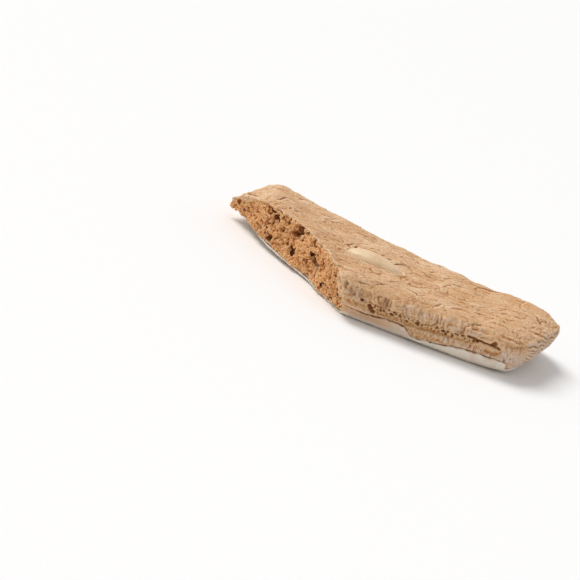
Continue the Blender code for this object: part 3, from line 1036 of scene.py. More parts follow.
@dataclass
class Crumb:
    """The inside of the dough, which shows at the break: grains that cling together, with bubbles in them."""

    name: str = "crumb"
    seed: int = 11
    voxel: float = 0.19
    fine_voxel: float = 0.165
    triangles: int = 196_000
    edge_gap: float = 0.4  # how far inside the baked skin it stays at the break
    skin_gap: float = 1.5  # and behind it
    sag: float = 0.3  # how far it sinks on to the wafer at the break
    push: float = 0.8  # how far a grain may stand in front of the break
    band: tuple[float, float] = (-5.5, -3.0)  # the block, from behind the break line to the grains on it
    grain_count: int = 1150
    grain_radius: float = 0.74
    grain_depth: tuple[float, float] = (0.3, 2.3)
    speck_count: int = 2600
    speck_radius: float = 0.36
    speck_depth: tuple[float, float] = (0.0, 2.0)
    clump: tuple[float, float] = (4.5, 1.0)  # size of the clumps, and how far they stand out
    bubble_count: int = 500
    bubble_radius: float = 0.45
    bubble_depth: tuple[float, float] = (0.5, 2.6)
    spread: float = 0.35
    fine_end: float = 16.0  # the crumb is finer this far from the front side
    cavities: tuple[tuple[float, float, float, float], ...] = (
        (-87.5, 32.5, 14.0, 1.9), (-89.0, 35.0, 12.5, 1.5), (-80.0, 23.5, 10.0, 2.0), (-87.0, 33.5, 5.5, 1.6),
        (-96.5, 42.0, 5.0, 1.6), (-97.0, 43.0, 6.5, 1.2), (-100.5, 44.0, 14.5, 1.4), (-96.5, 42.0, 13.5, 1.5),
        (-107.0, 56.5, 8.0, 1.0), (-112.0, 60.5, 8.0, 0.9), (-75.0, 14.0, 3.0, 0.7), (-73.0, 11.5, 4.5, 0.7),
        (-72.5, 7.5, 11.5, 0.9), (-94.0, 38.5, 11.0, 1.0), (-89.5, 36.0, 11.5, 0.9), (-101.5, 47.5, 6.0, 0.9),
        (-82.5, 25.5, 6.5, 0.8))  # place of the mouth and radius
    cavity_bubbles: int = 14
    curds: tuple[tuple[float, float], ...] = ((1.9, 0.42), (0.95, 0.30))  # size and height
    grit: tuple[float, float] = (0.5, 0.14)
    deepest: float = 4.0  # depths behind the broken face are measured up to this
    clefts: tuple[int, float] = (6, 0.12)  # rounds of spreading, and the depth of a full one
    hollows: tuple[int, float] = (50, 0.45)

    def build(self, slab: Slab) -> bpy.types.Object:
        """Make the crumb.

        Args:
            slab: the slab that it is part of.

        Returns:
            The finished piece, without its material.
        """
        draw = np.random.default_rng(self.seed)
        piece = self._grains(draw, slab).build(slab.corner, self.voxel)
        piece.name = self.name
        for operation, helper in (
            ("UNION", self._block(slab)),
            ("INTERSECT", self._dough_inside(slab)),
            ("DIFFERENCE", self._bubbles(draw, slab).build(slab.corner, self.voxel)),
        ):
            finish_with(piece, "BOOLEAN", operation=operation, solver="MANIFOLD", object=helper)
            bpy.data.objects.remove(helper, do_unlink=True)
        self._roughen(piece, slab)
        thin_out(piece, self.triangles)
        skin = Skin(piece, slab.corner)
        # depth behind the broken face, which sets the crumb's painted shade
        skin.mark("deep", slab.broken.distance(skin.points, self.deepest) / self.deepest)
        piece.data.shade_smooth()
        return piece

    def _roughen(self, piece: bpy.types.Object, slab: Slab) -> None:
        """Give the crumb its curds and its grit, and mark its clefts and hollows.

        Args:
            piece: the joined grains, which it changes.
            slab: the slab.
        """
        noise = Noise(self.seed)
        finish_with(piece, "REMESH", mode="VOXEL", voxel_size=self.voxel * MM)
        keep_largest_body(piece)
        skin = Skin(piece, slab.corner)
        _, _, along = slab.break_line.measure(skin.points)
        upright = 1 - step_up(along, self.fine_end * 0.7, self.fine_end * 1.2)
        drawn = skin.points * np.stack((1 + 0.25 * upright, 1 + 0.25 * upright, 1 - 0.45 * upright), axis=1)
        height = sum(
            rise * (noise.puffs(drawn + 9.1 * k, size) - 0.5) for k, (size, rise) in enumerate(self.curds)
        )
        skin.points = skin.points + unit(skin.spread(skin.normals, 3)) * height[:, None]
        skin.write()
        finish_with(piece, "REMESH", mode="VOXEL", voxel_size=self.fine_voxel * MM)
        keep_largest_body(piece)
        skin = Skin(piece, slab.corner)
        height = self.grit[1] * noise.layered(skin.points, self.grit[0], 2)
        skin.points = skin.points + unit(skin.spread(skin.normals, 2)) * height[:, None]
        skin.write()
        # hollows and rises, for the painted shade and painted light in the crumb's colour
        skin.mark("cleft", skin.hollows(*self.clefts))
        skin.mark("hollow", skin.hollows(*self.hollows))

    def _dough_inside(self, slab: Slab) -> bpy.types.Object:
        """The CAD dough with its baked faces drawn in, and its broken face pushed out."""
        piece = copy_node(slab.nodes["dough"], "dough_inside")
        finish_with(piece, "SUBSURF", subdivision_type="SIMPLE", levels=1, render_levels=1)
        finish_with(piece, "TRIANGULATE")
        points, faces = slab.triangles(piece)
        broken = slab.is_broken(points, faces)
        baked_out = point_normals(points, faces[~broken])
        broken_out = point_normals(points, faces[broken])
        behind = step_up(slab.broken.distance(points, 5.0), 1.0, 3.5)
        edge = np.where(baked_out[:, 2] < -0.5, -self.sag, self.edge_gap)
        gap = edge + (self.skin_gap - edge) * behind
        from_window = np.linalg.norm(points - Crust.window, axis=1) / Crust.window_size
        push = self.push - 1.6 * np.exp(-(from_window**4))
        skin = Skin(piece, slab.corner)
        skin.points = points - baked_out * gap[:, None] + broken_out * push[:, None]
        skin.write()
        return piece

    def _block(self, slab: Slab) -> bpy.types.Object:
        """A tall wall behind the break, which the grains sit on."""
        stops = np.array(slab.break_line.stops)
        runs = unit(np.diff(stops, axis=0))
        runs = unit(np.vstack((runs[:1], runs[:-1] + runs[1:], runs[-1:])))
        outs = np.stack((-runs[:, 1], runs[:, 0]), axis=1)
        stops[0] -= runs[0] * 4.0
        stops[-1] += runs[-1] * 4.0
        outline = np.vstack((stops + outs * self.band[0], (stops + outs * self.band[1])[::-1]))
        wall = bmesh.new()
        foot = [wall.verts.new(slab.place(x, y, -4.0)) for x, y in outline]
        base = wall.faces.new(foot)
        raised = bmesh.ops.extrude_face_region(wall, geom=[base])["geom"]
        lifted = [item for item in raised if isinstance(item, bmesh.types.BMVert)]
        bmesh.ops.translate(wall, verts=lifted, vec=(0.0, 0.0, 30.0 * MM))
        bmesh.ops.triangulate(wall, faces=wall.faces)
        wall.normal_update()
        bmesh.ops.recalc_face_normals(wall, faces=wall.faces)
        mesh = bpy.data.meshes.new("block")
        wall.to_mesh(mesh)
        wall.free()
        block = bpy.data.objects.new("block", mesh)
        bpy.context.scene.collection.objects.link(block)
        return block

    def _sizes(self, draw: np.random.Generator, along: Array, middle: float) -> Array:
        """Radii spread round a middle one, smaller near the front side."""
        radii = middle * np.exp(np.clip(draw.normal(0.0, self.spread, len(along)), -0.7, 0.8))
        return radii * (0.62 + 0.38 * step_up(along, self.fine_end * 0.6, self.fine_end * 1.2))

    def _scatter(self, draw: np.random.Generator, slab: Slab, count: int,
                 depth: tuple[float, float]) -> tuple[Array, Array]:
        """Random places behind the broken face, and how far along it they are."""
        centres = slab.broken.sprinkle(draw, count)
        _, facing, along = slab.break_line.measure(centres)
        clumps = self.clump[1] * Noise(self.seed + 5).smooth(centres, self.clump[0])
        centres[:, :2] -= facing * (draw.uniform(*depth, count) + clumps)[:, None]
        return centres, along

    def _grains(self, draw: np.random.Generator, slab: Slab) -> Balls:
        """The grains of crumb on the broken face."""
        grains, along = self._scatter(draw, slab, self.grain_count, self.grain_depth)
        radii = self._sizes(draw, along, self.grain_radius)
        specks, along = self._scatter(draw, slab, self.speck_count, self.speck_depth)
        radii = np.concatenate((radii, self._sizes(draw, along, self.speck_radius)))
        centres = np.vstack((grains, specks))
        return Balls("grains", centres, radii, unit(draw.normal(size=centres.shape)),
                     draw.uniform(1.0, 1.6, len(centres)))

    def _bubbles(self, draw: np.random.Generator, slab: Slab) -> Balls:
        """The bubbles, the largest of them in the cavities, and upright ones near the front side."""
        centres, along = self._scatter(draw, slab, self.bubble_count, self.bubble_depth)
        radii = self._sizes(draw, along, self.bubble_radius)
        axes = unit(draw.normal(size=centres.shape) + (along < self.fine_end)[:, None] * (0.0, 0.0, 2.5))
        for *place, radius in self.cavities:
            mouth = slab.broken.nearest(place)
            _, facing, _ = slab.break_line.measure(mouth[None])
            mouth[:2] -= 0.45 * radius * facing[0]
            bowl = mouth + (*(1.4 * radius * facing[0]), 0.0)
            bubbles = draw.normal(0.0, 0.75 * radius, (self.cavity_bubbles, 3)) + mouth
            around = np.vstack((mouth, bowl, bubbles))
            centres = np.vstack((centres, around))
            sizes = draw.uniform(0.4, 0.8, self.cavity_bubbles) * radius
            radii = np.concatenate((radii, (0.8 * radius, 1.35 * radius), sizes))
            axes = np.vstack((axes, unit(draw.normal(size=around.shape))))
        return Balls("bubbles", centres, radii, axes, draw.uniform(1.0, 1.7, len(centres)))


# ---------------------------------------------------------------------------------------------- wafer, almond


@dataclass
class Wafer:
    """The baked wafer sheet under the dough, with its torn rim up the front side."""

    MIDDLE = -43.0  # its underside is flat round here
    FLAT = 22.0  # and this far to either side
    CURLS = (0.085, 0.115)  # how strongly its left and its right end curl up
    EASE = 15.0

    name: str = "wafer_sheet"
    seed: int = 3
    levels: int = 2
    turned: float = 4.1  # height of the CAD wafer's rim over its underside
    proud: float = 0.35
    close_gap: float = 0.28
    flutter: tuple[float, float] = (5.0, 0.10)
    torn: tuple[float, float] = (1.8, 0.40)
    drawn_in: float = 0.65  # how far the sheet ends behind the break
    curl: float = 0.7  # how far its rim curls out where it steps down

    def build(self, slab: Slab) -> bpy.types.Object:
        """Make the wafer from its CAD node.

        Args:
            slab: the slab that it is part of.

        Returns:
            The finished piece, without its material.
        """
        piece = copy_node(slab.nodes["wafer"], self.name)
        finish_with(
            piece, "SUBSURF", subdivision_type="SIMPLE", levels=self.levels, render_levels=self.levels
        )
        skin = Skin(piece, slab.corner)
        noise = Noise(self.seed)
        points = skin.points
        x, y, z = points.T
        under = self._underside(x)
        front = 1 - step_up(y, 3.0, 5.0)
        high = np.clip((z - under) / self.turned, 0.0, 1.2)
        wanted = slab.rim_height(x) + self.torn[1] * noise.layered(points, self.torn[0], 2)
        lift = (wanted - under - self.turned) * step_up(high, 0.15, 1.0) * front
        over = np.clip(z + lift - under - 3.0, 0.0, 3.0)
        points[:, 2] += lift
        curled = self.proud + self.curl * within(x, -44.5, -40.0, 1.5)
        points[:, 1] -= curled * np.clip(over, 0.0, 1.0) * front
        ahead, facing, _ = slab.break_line.measure(points)
        near = step_up(ahead, -6.0, -2.0) * (np.abs(ahead) < 9)
        inner = step_up(skin.normals[:, 2], 0.6, 0.9) * step_up(under + 1.2 - z, 0.0, 0.3)
        points[:, 2] += self.close_gap * inner * (1 - 1.3 * near)
        push = near * (0.55 * noise.layered(points, 3.6, 3) - self.drawn_in)
        points[:, :2] += facing * push[:, None]
        wave = self.flutter[1] * noise.smooth(points, self.flutter[0]) * step_up(z - under, 0.8, 2.0)
        points += skin.normals * wave[:, None]
        skin.points = points
        skin.write()
        skin.mark("rim", step_up(z - under, 0.8, 3.0) * front)
        finish_with(piece, "TRIANGULATE")
        piece.data.shade_smooth()
        bpy.ops.object.shade_smooth_by_angle(angle=math.radians(40.0))
        return piece

    def _underside(self, x: Array) -> Array:
        """Height of the wafer's underside along the slab, which curls up at both ends."""
        past = np.maximum(np.abs(x - self.MIDDLE) - self.FLAT, 0.0)
        return np.where(x > self.MIDDLE, self.CURLS[1], self.CURLS[0]) * past * past / (past + self.EASE)


@dataclass
class Almond:
    """The blanched almond, smooth but for faint grooves along it."""

    name: str = "almond_kernel"
    seed: int = 9
    levels: int = 2
    turn: float = -13.0  # degrees
    groove_size: tuple[float, float, float] = (14.0, 0.9, 0.9)
    groove_depth: float = 0.06
    dents: tuple[float, float] = (4.5, 0.16)

    def build(self, slab: Slab) -> bpy.types.Object:
        """Make the almond from its CAD node.

        Args:
            slab: the slab that it is part of.

        Returns:
            The finished piece, without its material.
        """
        piece = copy_node(slab.nodes["almond"], self.name)
        finish_with(piece, "SUBSURF", levels=self.levels, render_levels=self.levels)
        skin = Skin(piece, slab.corner)
        noise = Noise(self.seed)
        turn = math.radians(self.turn)
        cosine, sine = math.cos(turn), math.sin(turn)
        across = np.array(((cosine, -sine, 0), (sine, cosine, 0), (0, 0, 1)))
        height = self.groove_depth * noise.smooth(skin.points @ across, self.groove_size)
        height += self.dents[1] * noise.smooth(skin.points, self.dents[0])
        skin.points = skin.points + skin.normals * height[:, None]
        skin.write()
        finish_with(piece, "TRIANGULATE")
        piece.data.shade_smooth()
        return piece


# ---------------------------------------------------------------------------------------------- finishes


class Group(Enum):
    """Node groups that several materials use."""

    MOTTLE = "mottle"
    ROUGHEN = "roughen"


class Nodes:
    """A node tree under construction."""

    def __init__(self, tree: bpy.types.NodeTree) -> None:
        """Keep the tree."""
        self.tree = tree

    def add(self, kind: str, settings: dict[str, object] | None = None, **inputs: object) -> bpy.types.Node:
        """Add a node.

        Args:
            kind: the node's type.
            settings: values of the node itself.
            inputs: values of its sockets, or sockets to link to them, by name with _ for a space.

        Returns:
            The node.
        """
        node = self.tree.nodes.new(kind)
        for name, value in (settings or {}).items():
            setattr(node, name, value)
        for name, value in inputs.items():
            self.feed(self.socket(node.inputs, name), value)
        return node

    @staticmethod
    def socket(sockets: bpy.types.NodeInputs, name: str) -> bpy.types.NodeSocket:
        """The socket of this name that is in use, with _ for a space."""
        wanted = name.replace("_", " ")
        return next(socket for socket in sockets if socket.name == wanted and socket.enabled)

    def feed(self, socket: bpy.types.NodeSocket, value: object) -> None:
        """Link a socket to this one, or set its value."""
        if isinstance(value, bpy.types.NodeSocket):
            self.tree.links.new(value, socket)
        elif isinstance(value, tuple) and len(value) == 3 and socket.type == "RGBA":
            socket.default_value = (*value, 1.0)
        else:
            socket.default_value = value

    def mix(self, share: object, first: object, second: object) -> bpy.types.NodeSocket:
        """The colour between two others."""
        node = self.tree.nodes.new("ShaderNodeMix")
        node.data_type = "RGBA"
        for name, value in (("Factor", share), ("A", first), ("B", second)):
            self.feed(self.socket(node.inputs, name), value)
        return self.socket(node.outputs, "Result")

    def ramp(self, value: object, low: object, high: object, start: float = 0.0,
             end: float = 1.0) -> bpy.types.NodeSocket:
        """A smooth step of the value from low to high, as a number from start to end."""
        settings = {"interpolation_type": "SMOOTHSTEP"}
        node = self.add("ShaderNodeMapRange", settings, Value=value, From_Min=low, From_Max=high,
                        To_Min=start, To_Max=end)
        return node.outputs["Result"]

    def lay(
        self, colour: object, *layers: tuple[bpy.types.NodeSocket, float, float, float, Colour]
    ) -> object:
        """Lay colours over one another.

        Args:
            colour: the lowest colour.
            layers: for each colour its mask, the mask's values where it begins and where it is full,
                its share there, and the colour.

        Returns:
            The socket of the colour on top.
        """
        for mask, low, high, share, over in layers:
            colour = self.mix(self.ramp(mask, low, high, 0.0, share), colour, over)
        return colour

    def times(self, first: object, second: object) -> bpy.types.NodeSocket:
        """The product of two numbers."""
        node = self.add("ShaderNodeMath", {"operation": "MULTIPLY"})
        self.feed(node.inputs[0], first)
        self.feed(node.inputs[1], second)
        return node.outputs[0]

    def blotches(
        self, place: bpy.types.NodeSocket, scale: float, low: float, high: float
    ) -> bpy.types.NodeSocket:
        """A mask of soft blotches, from the shared group."""
        return self.group(Group.MOTTLE, "Mask", Place=place, Scale=scale, Low=low, High=high)

    def mark(self, name: str) -> bpy.types.NodeSocket:
        """The value that the mesh stores under this name."""
        return self.add("ShaderNodeAttribute", {"attribute_name": name}).outputs["Fac"]

    def group(self, which: Group, output: str, **inputs: object) -> bpy.types.NodeSocket:
        """An output of one of the shared groups, placed in this tree with these values."""
        node = self.tree.nodes.new("ShaderNodeGroup")
        node.node_tree = bpy.data.node_groups[which.value]
        for name, value in inputs.items():
            self.feed(self.socket(node.inputs, name), value)
        return node.outputs[output]


def start_group(which: Group, numbers: dict[str, float], output: str,
                kind: str) -> tuple[Nodes, bpy.types.NodeOutputs, bpy.types.NodeSocket]:
    """Start a node group that works on a place in space.

    Args:
        which: the group.
        numbers: the numbers that it takes, with their usual values.
        output: name of what it gives.
        kind: socket type of that.

    Returns:
        Its nodes, the sockets of what it takes, and the socket that takes what it gives.
    """
    tree = bpy.data.node_groups.new(which.value, "ShaderNodeTree")
    tree.interface.new_socket("Place", in_out="INPUT", socket_type="NodeSocketVector")
    for name, value in numbers.items():
        tree.interface.new_socket(name, in_out="INPUT", socket_type="NodeSocketFloat").default_value = value
    tree.interface.new_socket(output, in_out="OUTPUT", socket_type=kind)
    given = tree.nodes.new("NodeGroupInput").outputs
    return Nodes(tree), given, tree.nodes.new("NodeGroupOutput").inputs[output]


def make_groups() -> None:
    """Build the shared node groups."""
    numbers = {"Scale": 100.0, "Low": 0.35, "High": 0.65}
    nodes, given, result = start_group(Group.MOTTLE, numbers, "Mask", "NodeSocketFloat")
    noise = nodes.add("ShaderNodeTexNoise", Vector=given["Place"], Scale=given["Scale"],
                      Detail=4.0, Roughness=0.6)
    nodes.feed(result, nodes.ramp(noise.outputs["Fac"], given["Low"], given["High"]))

    numbers = {"Scale": 1000.0, "Depth": 0.0001}
    nodes, given, result = start_group(Group.ROUGHEN, numbers, "Normal", "NodeSocketVector")
    noise = nodes.add("ShaderNodeTexNoise", Vector=given["Place"], Scale=given["Scale"],
                      Detail=3.0, Roughness=0.65)
    bump = nodes.add("ShaderNodeBump", Strength=1.0, Distance=given["Depth"], Height=noise.outputs["Fac"])
    nodes.feed(result, bump.outputs["Normal"])


@dataclass(frozen=True)
class Finish:
    """What every finish has: its name, how rough it is, and how light goes into it."""

    name: str
    roughness: float
    grain_scale: float  # per metre
    grain_depth: float  # metres
    glow: float = 0.0  # share of the light that goes into the surface
    glow_reach: float = 0.0012  # metres
    glow_radius: Colour = (1.0, 0.45, 0.2)
    shine: float = 0.35

    def dress(self, piece: bpy.types.Object) -> None:
        """Give the piece this finish."""
        material = bpy.data.materials.new(self.name)
        material.use_nodes = True
        nodes = Nodes(material.node_tree)
        shader = material.node_tree.nodes["Principled BSDF"]
        place = nodes.add("ShaderNodeTexCoord").outputs["Object"]
        for name, value in (("Roughness", self.roughness), ("Specular IOR Level", self.shine),
                            ("Subsurface Weight", self.glow), ("Subsurface Scale", self.glow_reach),
                            ("Subsurface Radius", self.glow_radius)):
            shader.inputs[name].default_value = value
        nodes.feed(shader.inputs["Base Color"], self.colour(nodes, place))
        normal = nodes.group(Group.ROUGHEN, "Normal", Place=place, Scale=self.grain_scale,
                             Depth=self.grain_depth)
        nodes.feed(shader.inputs["Normal"], normal)
        piece.data.materials.clear()
        piece.data.materials.append(material)

    def colour(self, nodes: Nodes, place: bpy.types.NodeSocket) -> bpy.types.NodeSocket:
        """The colour over the surface.

        Args:
            nodes: the material's nodes.
            place: its Object coordinates.

        Returns:
            A colour socket.
        """
        raise NotImplementedError


@dataclass(frozen=True)
class CrustFinish(Finish):
    """Baked crust: pale tan, pinker in places, floury and dusky on its sides, with painted shade in its
    clefts, hollows, valleys, cracks and pores and painted light on its rises.
    """

    pale: Colour = (0.90, 0.645, 0.420)
    tan: Colour = (0.66, 0.370, 0.165)
    pink: Colour = (0.65, 0.360, 0.210)
    # the crust's own colour in its seams and specks, and painted shade in its clefts and hollows
    amber: Colour = (0.45, 0.170, 0.045)
    # painted shade in cracks, pores, the crease and round the almond
    dark: Colour = (0.25, 0.082, 0.022)
    side: Colour = (0.68, 0.385, 0.185)
    golden: Colour = (0.60, 0.335, 0.135)
    # the dusky patch's own tone, and painted shade in the valleys of the front side and the right end
    dusk_and_valley_shade: Colour = (0.34, 0.190, 0.100)
    flour: Colour = (0.76, 0.630, 0.530)
    # painted shade: the dark of the face set back behind the crumb, seen between its grains
    inside: Colour = (0.30, 0.115, 0.035)

    def colour(self, nodes: Nodes, place: bpy.types.NodeSocket) -> bpy.types.NodeSocket:
        """Blotches of tan, flour and a dusky patch on the sides, and painted light and shade: paler rises,
        amber clefts and hollows, shaded valleys, dark cracks, pores and crease, and a dark face behind the
        crumb.
        """
        along = nodes.add("ShaderNodeSeparateXYZ", Vector=place).outputs["X"]
        dust = nodes.ramp(nodes.blotches(place, 900.0, 0.30, 0.62), 0.0, 1.0, 0.45, 1.0)
        colour = nodes.lay(
            self.pale,
            (nodes.blotches(place, 70.0, 0.35, 0.66), 0.0, 1.0, 0.75, self.tan),
            (nodes.mark("shade"), 0.3, 0.8, 0.55, self.tan),
            (nodes.blotches(place, 260.0, 0.42, 0.70), 0.0, 1.0, 0.55, self.pink),
            (nodes.blotches(place, 1300.0, 0.35, 0.70), 0.0, 1.0, 0.50, self.tan),
            (along, 0.005, 0.045, 0.35, self.tan),
            (nodes.mark("front"), 0.2, 1.0, 0.75, self.side),
            (nodes.mark("band"), 0.1, 0.8, 0.80, self.golden),
            # painted shade in hollows and clefts
            (nodes.mark("hollow"), 0.2, 1.0, 0.45, self.amber),
            (nodes.mark("cleft"), 0.05, 1.0, 0.75, self.amber),
            (nodes.mark("seam"), 0.1, 0.9, 0.70, self.amber),
            # painted light on the rises
            (nodes.mark("cleft"), -0.1, -0.9, 0.55, self.pale),
            (nodes.blotches(place, 1900.0, 0.54, 0.68), 0.0, 1.0, 0.40, self.amber),
            # the dusky patch, and painted shade in the side valleys
            (nodes.mark("dusk_and_valley_shade"), 0.1, 0.9, 0.80, self.dusk_and_valley_shade))
        colour = nodes.mix(nodes.times(nodes.mark("flour"), dust), colour, self.flour)
        colour = nodes.lay(
            colour,
            # painted shade in cracks, round the almond, in pores and in the crease
            (nodes.mark("crack"), 0.15, 0.9, 0.70, self.dark),
            (nodes.mark("pore"), 0.15, 0.8, 0.90, self.dark))
        # painted shade on the face set back behind the crumb
        return nodes.mix(nodes.mark("inside"), colour, self.inside)


@dataclass(frozen=True)
class CrumbFinish(Finish):
    """Golden brown crumb, with painted light and shade: pale on its curds, amber between them and dark deep
    in its pores.
    """

    # the crumb's own pale specks, and painted light on its curds
    pale: Colour = (0.98, 0.690, 0.420)
    light: Colour = (0.94, 0.510, 0.195)
    golden: Colour = (0.73, 0.315, 0.083)
    # the next two: painted shade between the curds and deep behind the broken face
    amber: Colour = (0.55, 0.170, 0.026)
    dark: Colour = (0.24, 0.066, 0.010)

    def colour(self, nodes: Nodes, place: bpy.types.NodeSocket) -> bpy.types.NodeSocket:
        """Golden blotches and pale specks, with painted light on the curds and painted shade between them and
        with depth behind the break.
        """
        return nodes.lay(
            self.light,
            (nodes.blotches(place, 160.0, 0.35, 0.65), 0.0, 1.0, 0.60, self.golden),
            # painted light on the curds
            (nodes.mark("cleft"), 0.05, -0.45, 0.85, self.pale),
            (nodes.blotches(place, 1300.0, 0.35, 0.65), 0.0, 1.0, 0.55, self.golden),
            # painted shade in clefts and hollows
            (nodes.mark("cleft"), -0.05, 0.45, 0.90, self.amber),
            (nodes.mark("hollow"), 0.05, 0.55, 0.75, self.amber),
            (nodes.blotches(place, 1700.0, 0.56, 0.68), 0.0, 1.0, 0.45, self.pale),
            # painted shade, darker with depth behind the broken face
            (nodes.mark("deep"), 0.15, 0.38, 0.75, self.amber),
            (nodes.mark("deep"), 0.28, 0.62, 0.90, self.dark))


@dataclass(frozen=True)
class WaferFinish(Finish):
    """Baked wafer: cream white with soft browned blotches, and a painted shadow darkening the left part of
    its front rim.
    """

    cream: Colour = (0.86, 0.75, 0.64)
    # one brown for the browned blotches and for the shadow painted on the rim
    browned_and_shadowed: Colour = (0.60, 0.375, 0.215)

    def colour(self, nodes: Nodes, place: bpy.types.NodeSocket) -> bpy.types.NodeSocket:
        """Cream with soft brown blotches, and a painted shadow over the left part of the front rim."""
        axis = nodes.add("ShaderNodeSeparateXYZ", Vector=place).outputs["X"]
        # painted shadow: the front rim is darkened towards its left part
        left = nodes.ramp(axis, 0.014, -0.006, 0.0, 0.95)
        colour = nodes.mix(nodes.times(left, nodes.mark("rim")), self.cream, self.browned_and_shadowed)
        return nodes.lay(colour, (nodes.blotches(place, 240.0, 0.45, 0.72), 0.0, 1.0, 0.30, self.browned_and_shadowed))


@dataclass(frozen=True)
class AlmondFinish(Finish):
    """Blanched almond: cream, with a warmer tint and faint lengthwise streaks."""

    cream: Colour = (0.82, 0.61, 0.385)
    warm: Colour = (0.70, 0.47, 0.26)
    turn: float = 13.0  # degrees back from the almond's length to X
    stretch: tuple[float, float, float] = (0.12, 1.0, 1.0)  # of the streaks' places, which draws them out

    def colour(self, nodes: Nodes, place: bpy.types.NodeSocket) -> bpy.types.NodeSocket:
        """Cream with warm blotches and streaks that run from tip to tip."""
        turned = nodes.add("ShaderNodeMapping", Vector=place, Rotation=(0.0, 0.0, math.radians(self.turn)),
                           Scale=self.stretch).outputs["Vector"]
        return nodes.lay(
            self.cream,
            (nodes.blotches(place, 170.0, 0.4, 0.7), 0.0, 1.0, 0.60, self.warm),
            (nodes.blotches(turned, 1400.0, 0.4, 0.7), 0.0, 1.0, 0.35, self.warm))


@dataclass(frozen=True)
class FloorFinish(Finish):
    """Plain white table."""

    white: Colour = (0.96, 0.96, 0.96)
    worn: Colour = (0.94, 0.94, 0.94)

    def colour(self, nodes: Nodes, place: bpy.types.NodeSocket) -> bpy.types.NodeSocket:
        """White, with a hardly visible unevenness."""
        return nodes.lay(self.white, (nodes.blotches(place, 8.0, 0.3, 0.7), 0.0, 1.0, 0.02, self.worn))


# ---------------------------------------------------------------------------------------------- studio


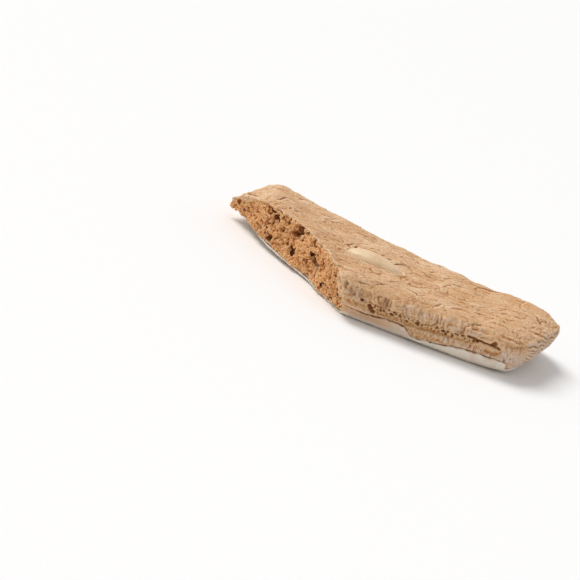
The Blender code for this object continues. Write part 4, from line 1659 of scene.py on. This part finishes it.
@dataclass
class Studio:
    """Camera, lights and floor. The camera looks at the slab as it lay in the photograph."""

    elevation: float = 23.0  # degrees that the camera looks down
    tilt: float = 21.0  # degrees that the slab's snapped end was raised
    roll: float = 3.0  # degrees that its back side was raised
    yaw: float = -4.0  # degrees that it was turned
    distance: float = 600.0
    pixel_size: float = 0.355  # millimetres that a pixel spans at that distance
    aim: tuple[float, float, float] = (0.0, 0.0, 1.3)
    aim_pixel: tuple[float, float] = (514.0, 379.0)
    film: float = 36.0
    floor_side: float = 8.0  # metres
    key_from: tuple[float, float, float] = (-0.52, 0.34, 0.78)
    key_strength: float = 2.05
    key_width: float = 32.0  # degrees
    key_colour: Colour = (1.0, 0.99, 0.975)
    world: float = 0.53
    backdrop: float = 1.0  # how bright the world is where the camera sees it

    def build(self, slab: Slab) -> None:
        """Set up the studio round the slab."""
        self._camera(slab)
        self._floor()
        self._lights()
        bpy.context.scene.view_settings.view_transform = "Standard"

    def _camera(self, slab: Slab) -> None:
        """The camera, tilted and rolled as the slab lay in the photograph."""
        tilt, roll, yaw, rise = (math.radians(a) for a in (self.tilt, self.roll, self.yaw, self.elevation))
        x = Vector((math.cos(tilt), 0.0, -math.sin(tilt)))
        y = Vector((0.0, 1.0, 0.0))
        z = Vector((math.sin(tilt), 0.0, math.cos(tilt)))
        x, y = x * math.cos(yaw) + y * math.sin(yaw), y * math.cos(yaw) - x * math.sin(yaw)
        y, z = y * math.cos(roll) - z * math.sin(roll), z * math.cos(roll) + y * math.sin(roll)
        lie = Matrix((x, y, z))
        back = lie @ Vector((0.0, -math.cos(rise), math.sin(rise)))
        up = lie @ Vector((0.0, math.sin(rise), math.cos(rise)))
        right = lie @ Vector((1.0, 0.0, 0.0))
        focus = self.distance / self.pixel_size
        across = (self.aim_pixel[0] - PHOTO_SIDE / 2) / focus
        down = (self.aim_pixel[1] - PHOTO_SIDE / 2) / focus
        data = bpy.data.cameras.new("camera")
        data.sensor_fit = "HORIZONTAL"
        data.sensor_width = self.film
        data.lens = focus * self.film / PHOTO_SIDE
        data.clip_start = 0.01
        camera = bpy.data.objects.new("camera", data)
        bpy.context.scene.collection.objects.link(camera)
        place = slab.place(*self.aim) + self.distance * MM * (back - across * right + down * up)
        camera.matrix_world = Matrix.Translation(place) @ Matrix((right, up, back)).transposed().to_4x4()
        bpy.context.scene.camera = camera

    def _floor(self) -> None:
        """A wide pale floor."""
        bpy.ops.object.select_all(action="DESELECT")
        bpy.ops.mesh.primitive_plane_add(size=self.floor_side, location=(0.0, 0.0, 0.0))
        floor = bpy.context.active_object
        floor.name = "floor"
        FloorFinish("white_table", 0.8, 20.0, 0.00001).dress(floor)

    def _lights(self) -> None:
        """A broad light from the upper left, and even light all round."""
        data = bpy.data.lights.new("key", "SUN")
        data.energy = self.key_strength
        data.angle = math.radians(self.key_width)
        data.color = self.key_colour
        light = bpy.data.objects.new("key", data)
        bpy.context.scene.collection.objects.link(light)
        light.rotation_euler = Vector(self.key_from).to_track_quat("Z", "Y").to_euler()
        world = bpy.data.worlds.new("studio")
        world.use_nodes = True
        nodes = Nodes(world.node_tree)
        background = world.node_tree.nodes["Background"]
        background.inputs["Color"].default_value = (1.0, 1.0, 1.0, 1.0)
        seen = nodes.add("ShaderNodeLightPath").outputs["Is Camera Ray"]
        nodes.feed(background.inputs["Strength"], nodes.ramp(seen, 0.0, 1.0, self.world, self.backdrop))
        bpy.context.scene.world = world


# ---------------------------------------------------------------------------------------------- making


def report_piece(piece: bpy.types.Object) -> None:
    """Say how large a finished piece is."""
    LOG.info("%s: %d triangles", piece.name, len(piece.data.polygons))


def main() -> None:
    """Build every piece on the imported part, and the studio round it."""
    logging.basicConfig(level=logging.INFO, format="%(message)s")
    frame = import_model()
    slab = Slab(frame["nodes"])
    make_groups()
    crust_finish = CrustFinish("crust", 0.82, 2100.0, 0.00036, glow=0.06)
    crumb_finish = CrumbFinish("crumb", 0.78, 2000.0, 0.00045, glow=0.06)
    wafer_finish = WaferFinish("wafer", 0.62, 1800.0, 0.00003, glow=0.25)
    almond_finish = AlmondFinish("almond", 0.42, 900.0, 0.00003, glow=0.2, shine=0.5)
    for maker, node, finish in (
        (Crust(), "dough", crust_finish),
        (Crumb(), "dough", crumb_finish),
        (Wafer(), "wafer", wafer_finish),
        (Almond(), "almond", almond_finish),
    ):
        piece = maker.build(slab)
        finish.dress(piece)
        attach(piece, "root")
        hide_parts(node)
        report_piece(piece)
    Studio().build(slab)


if __name__ == "__main__":
    main()
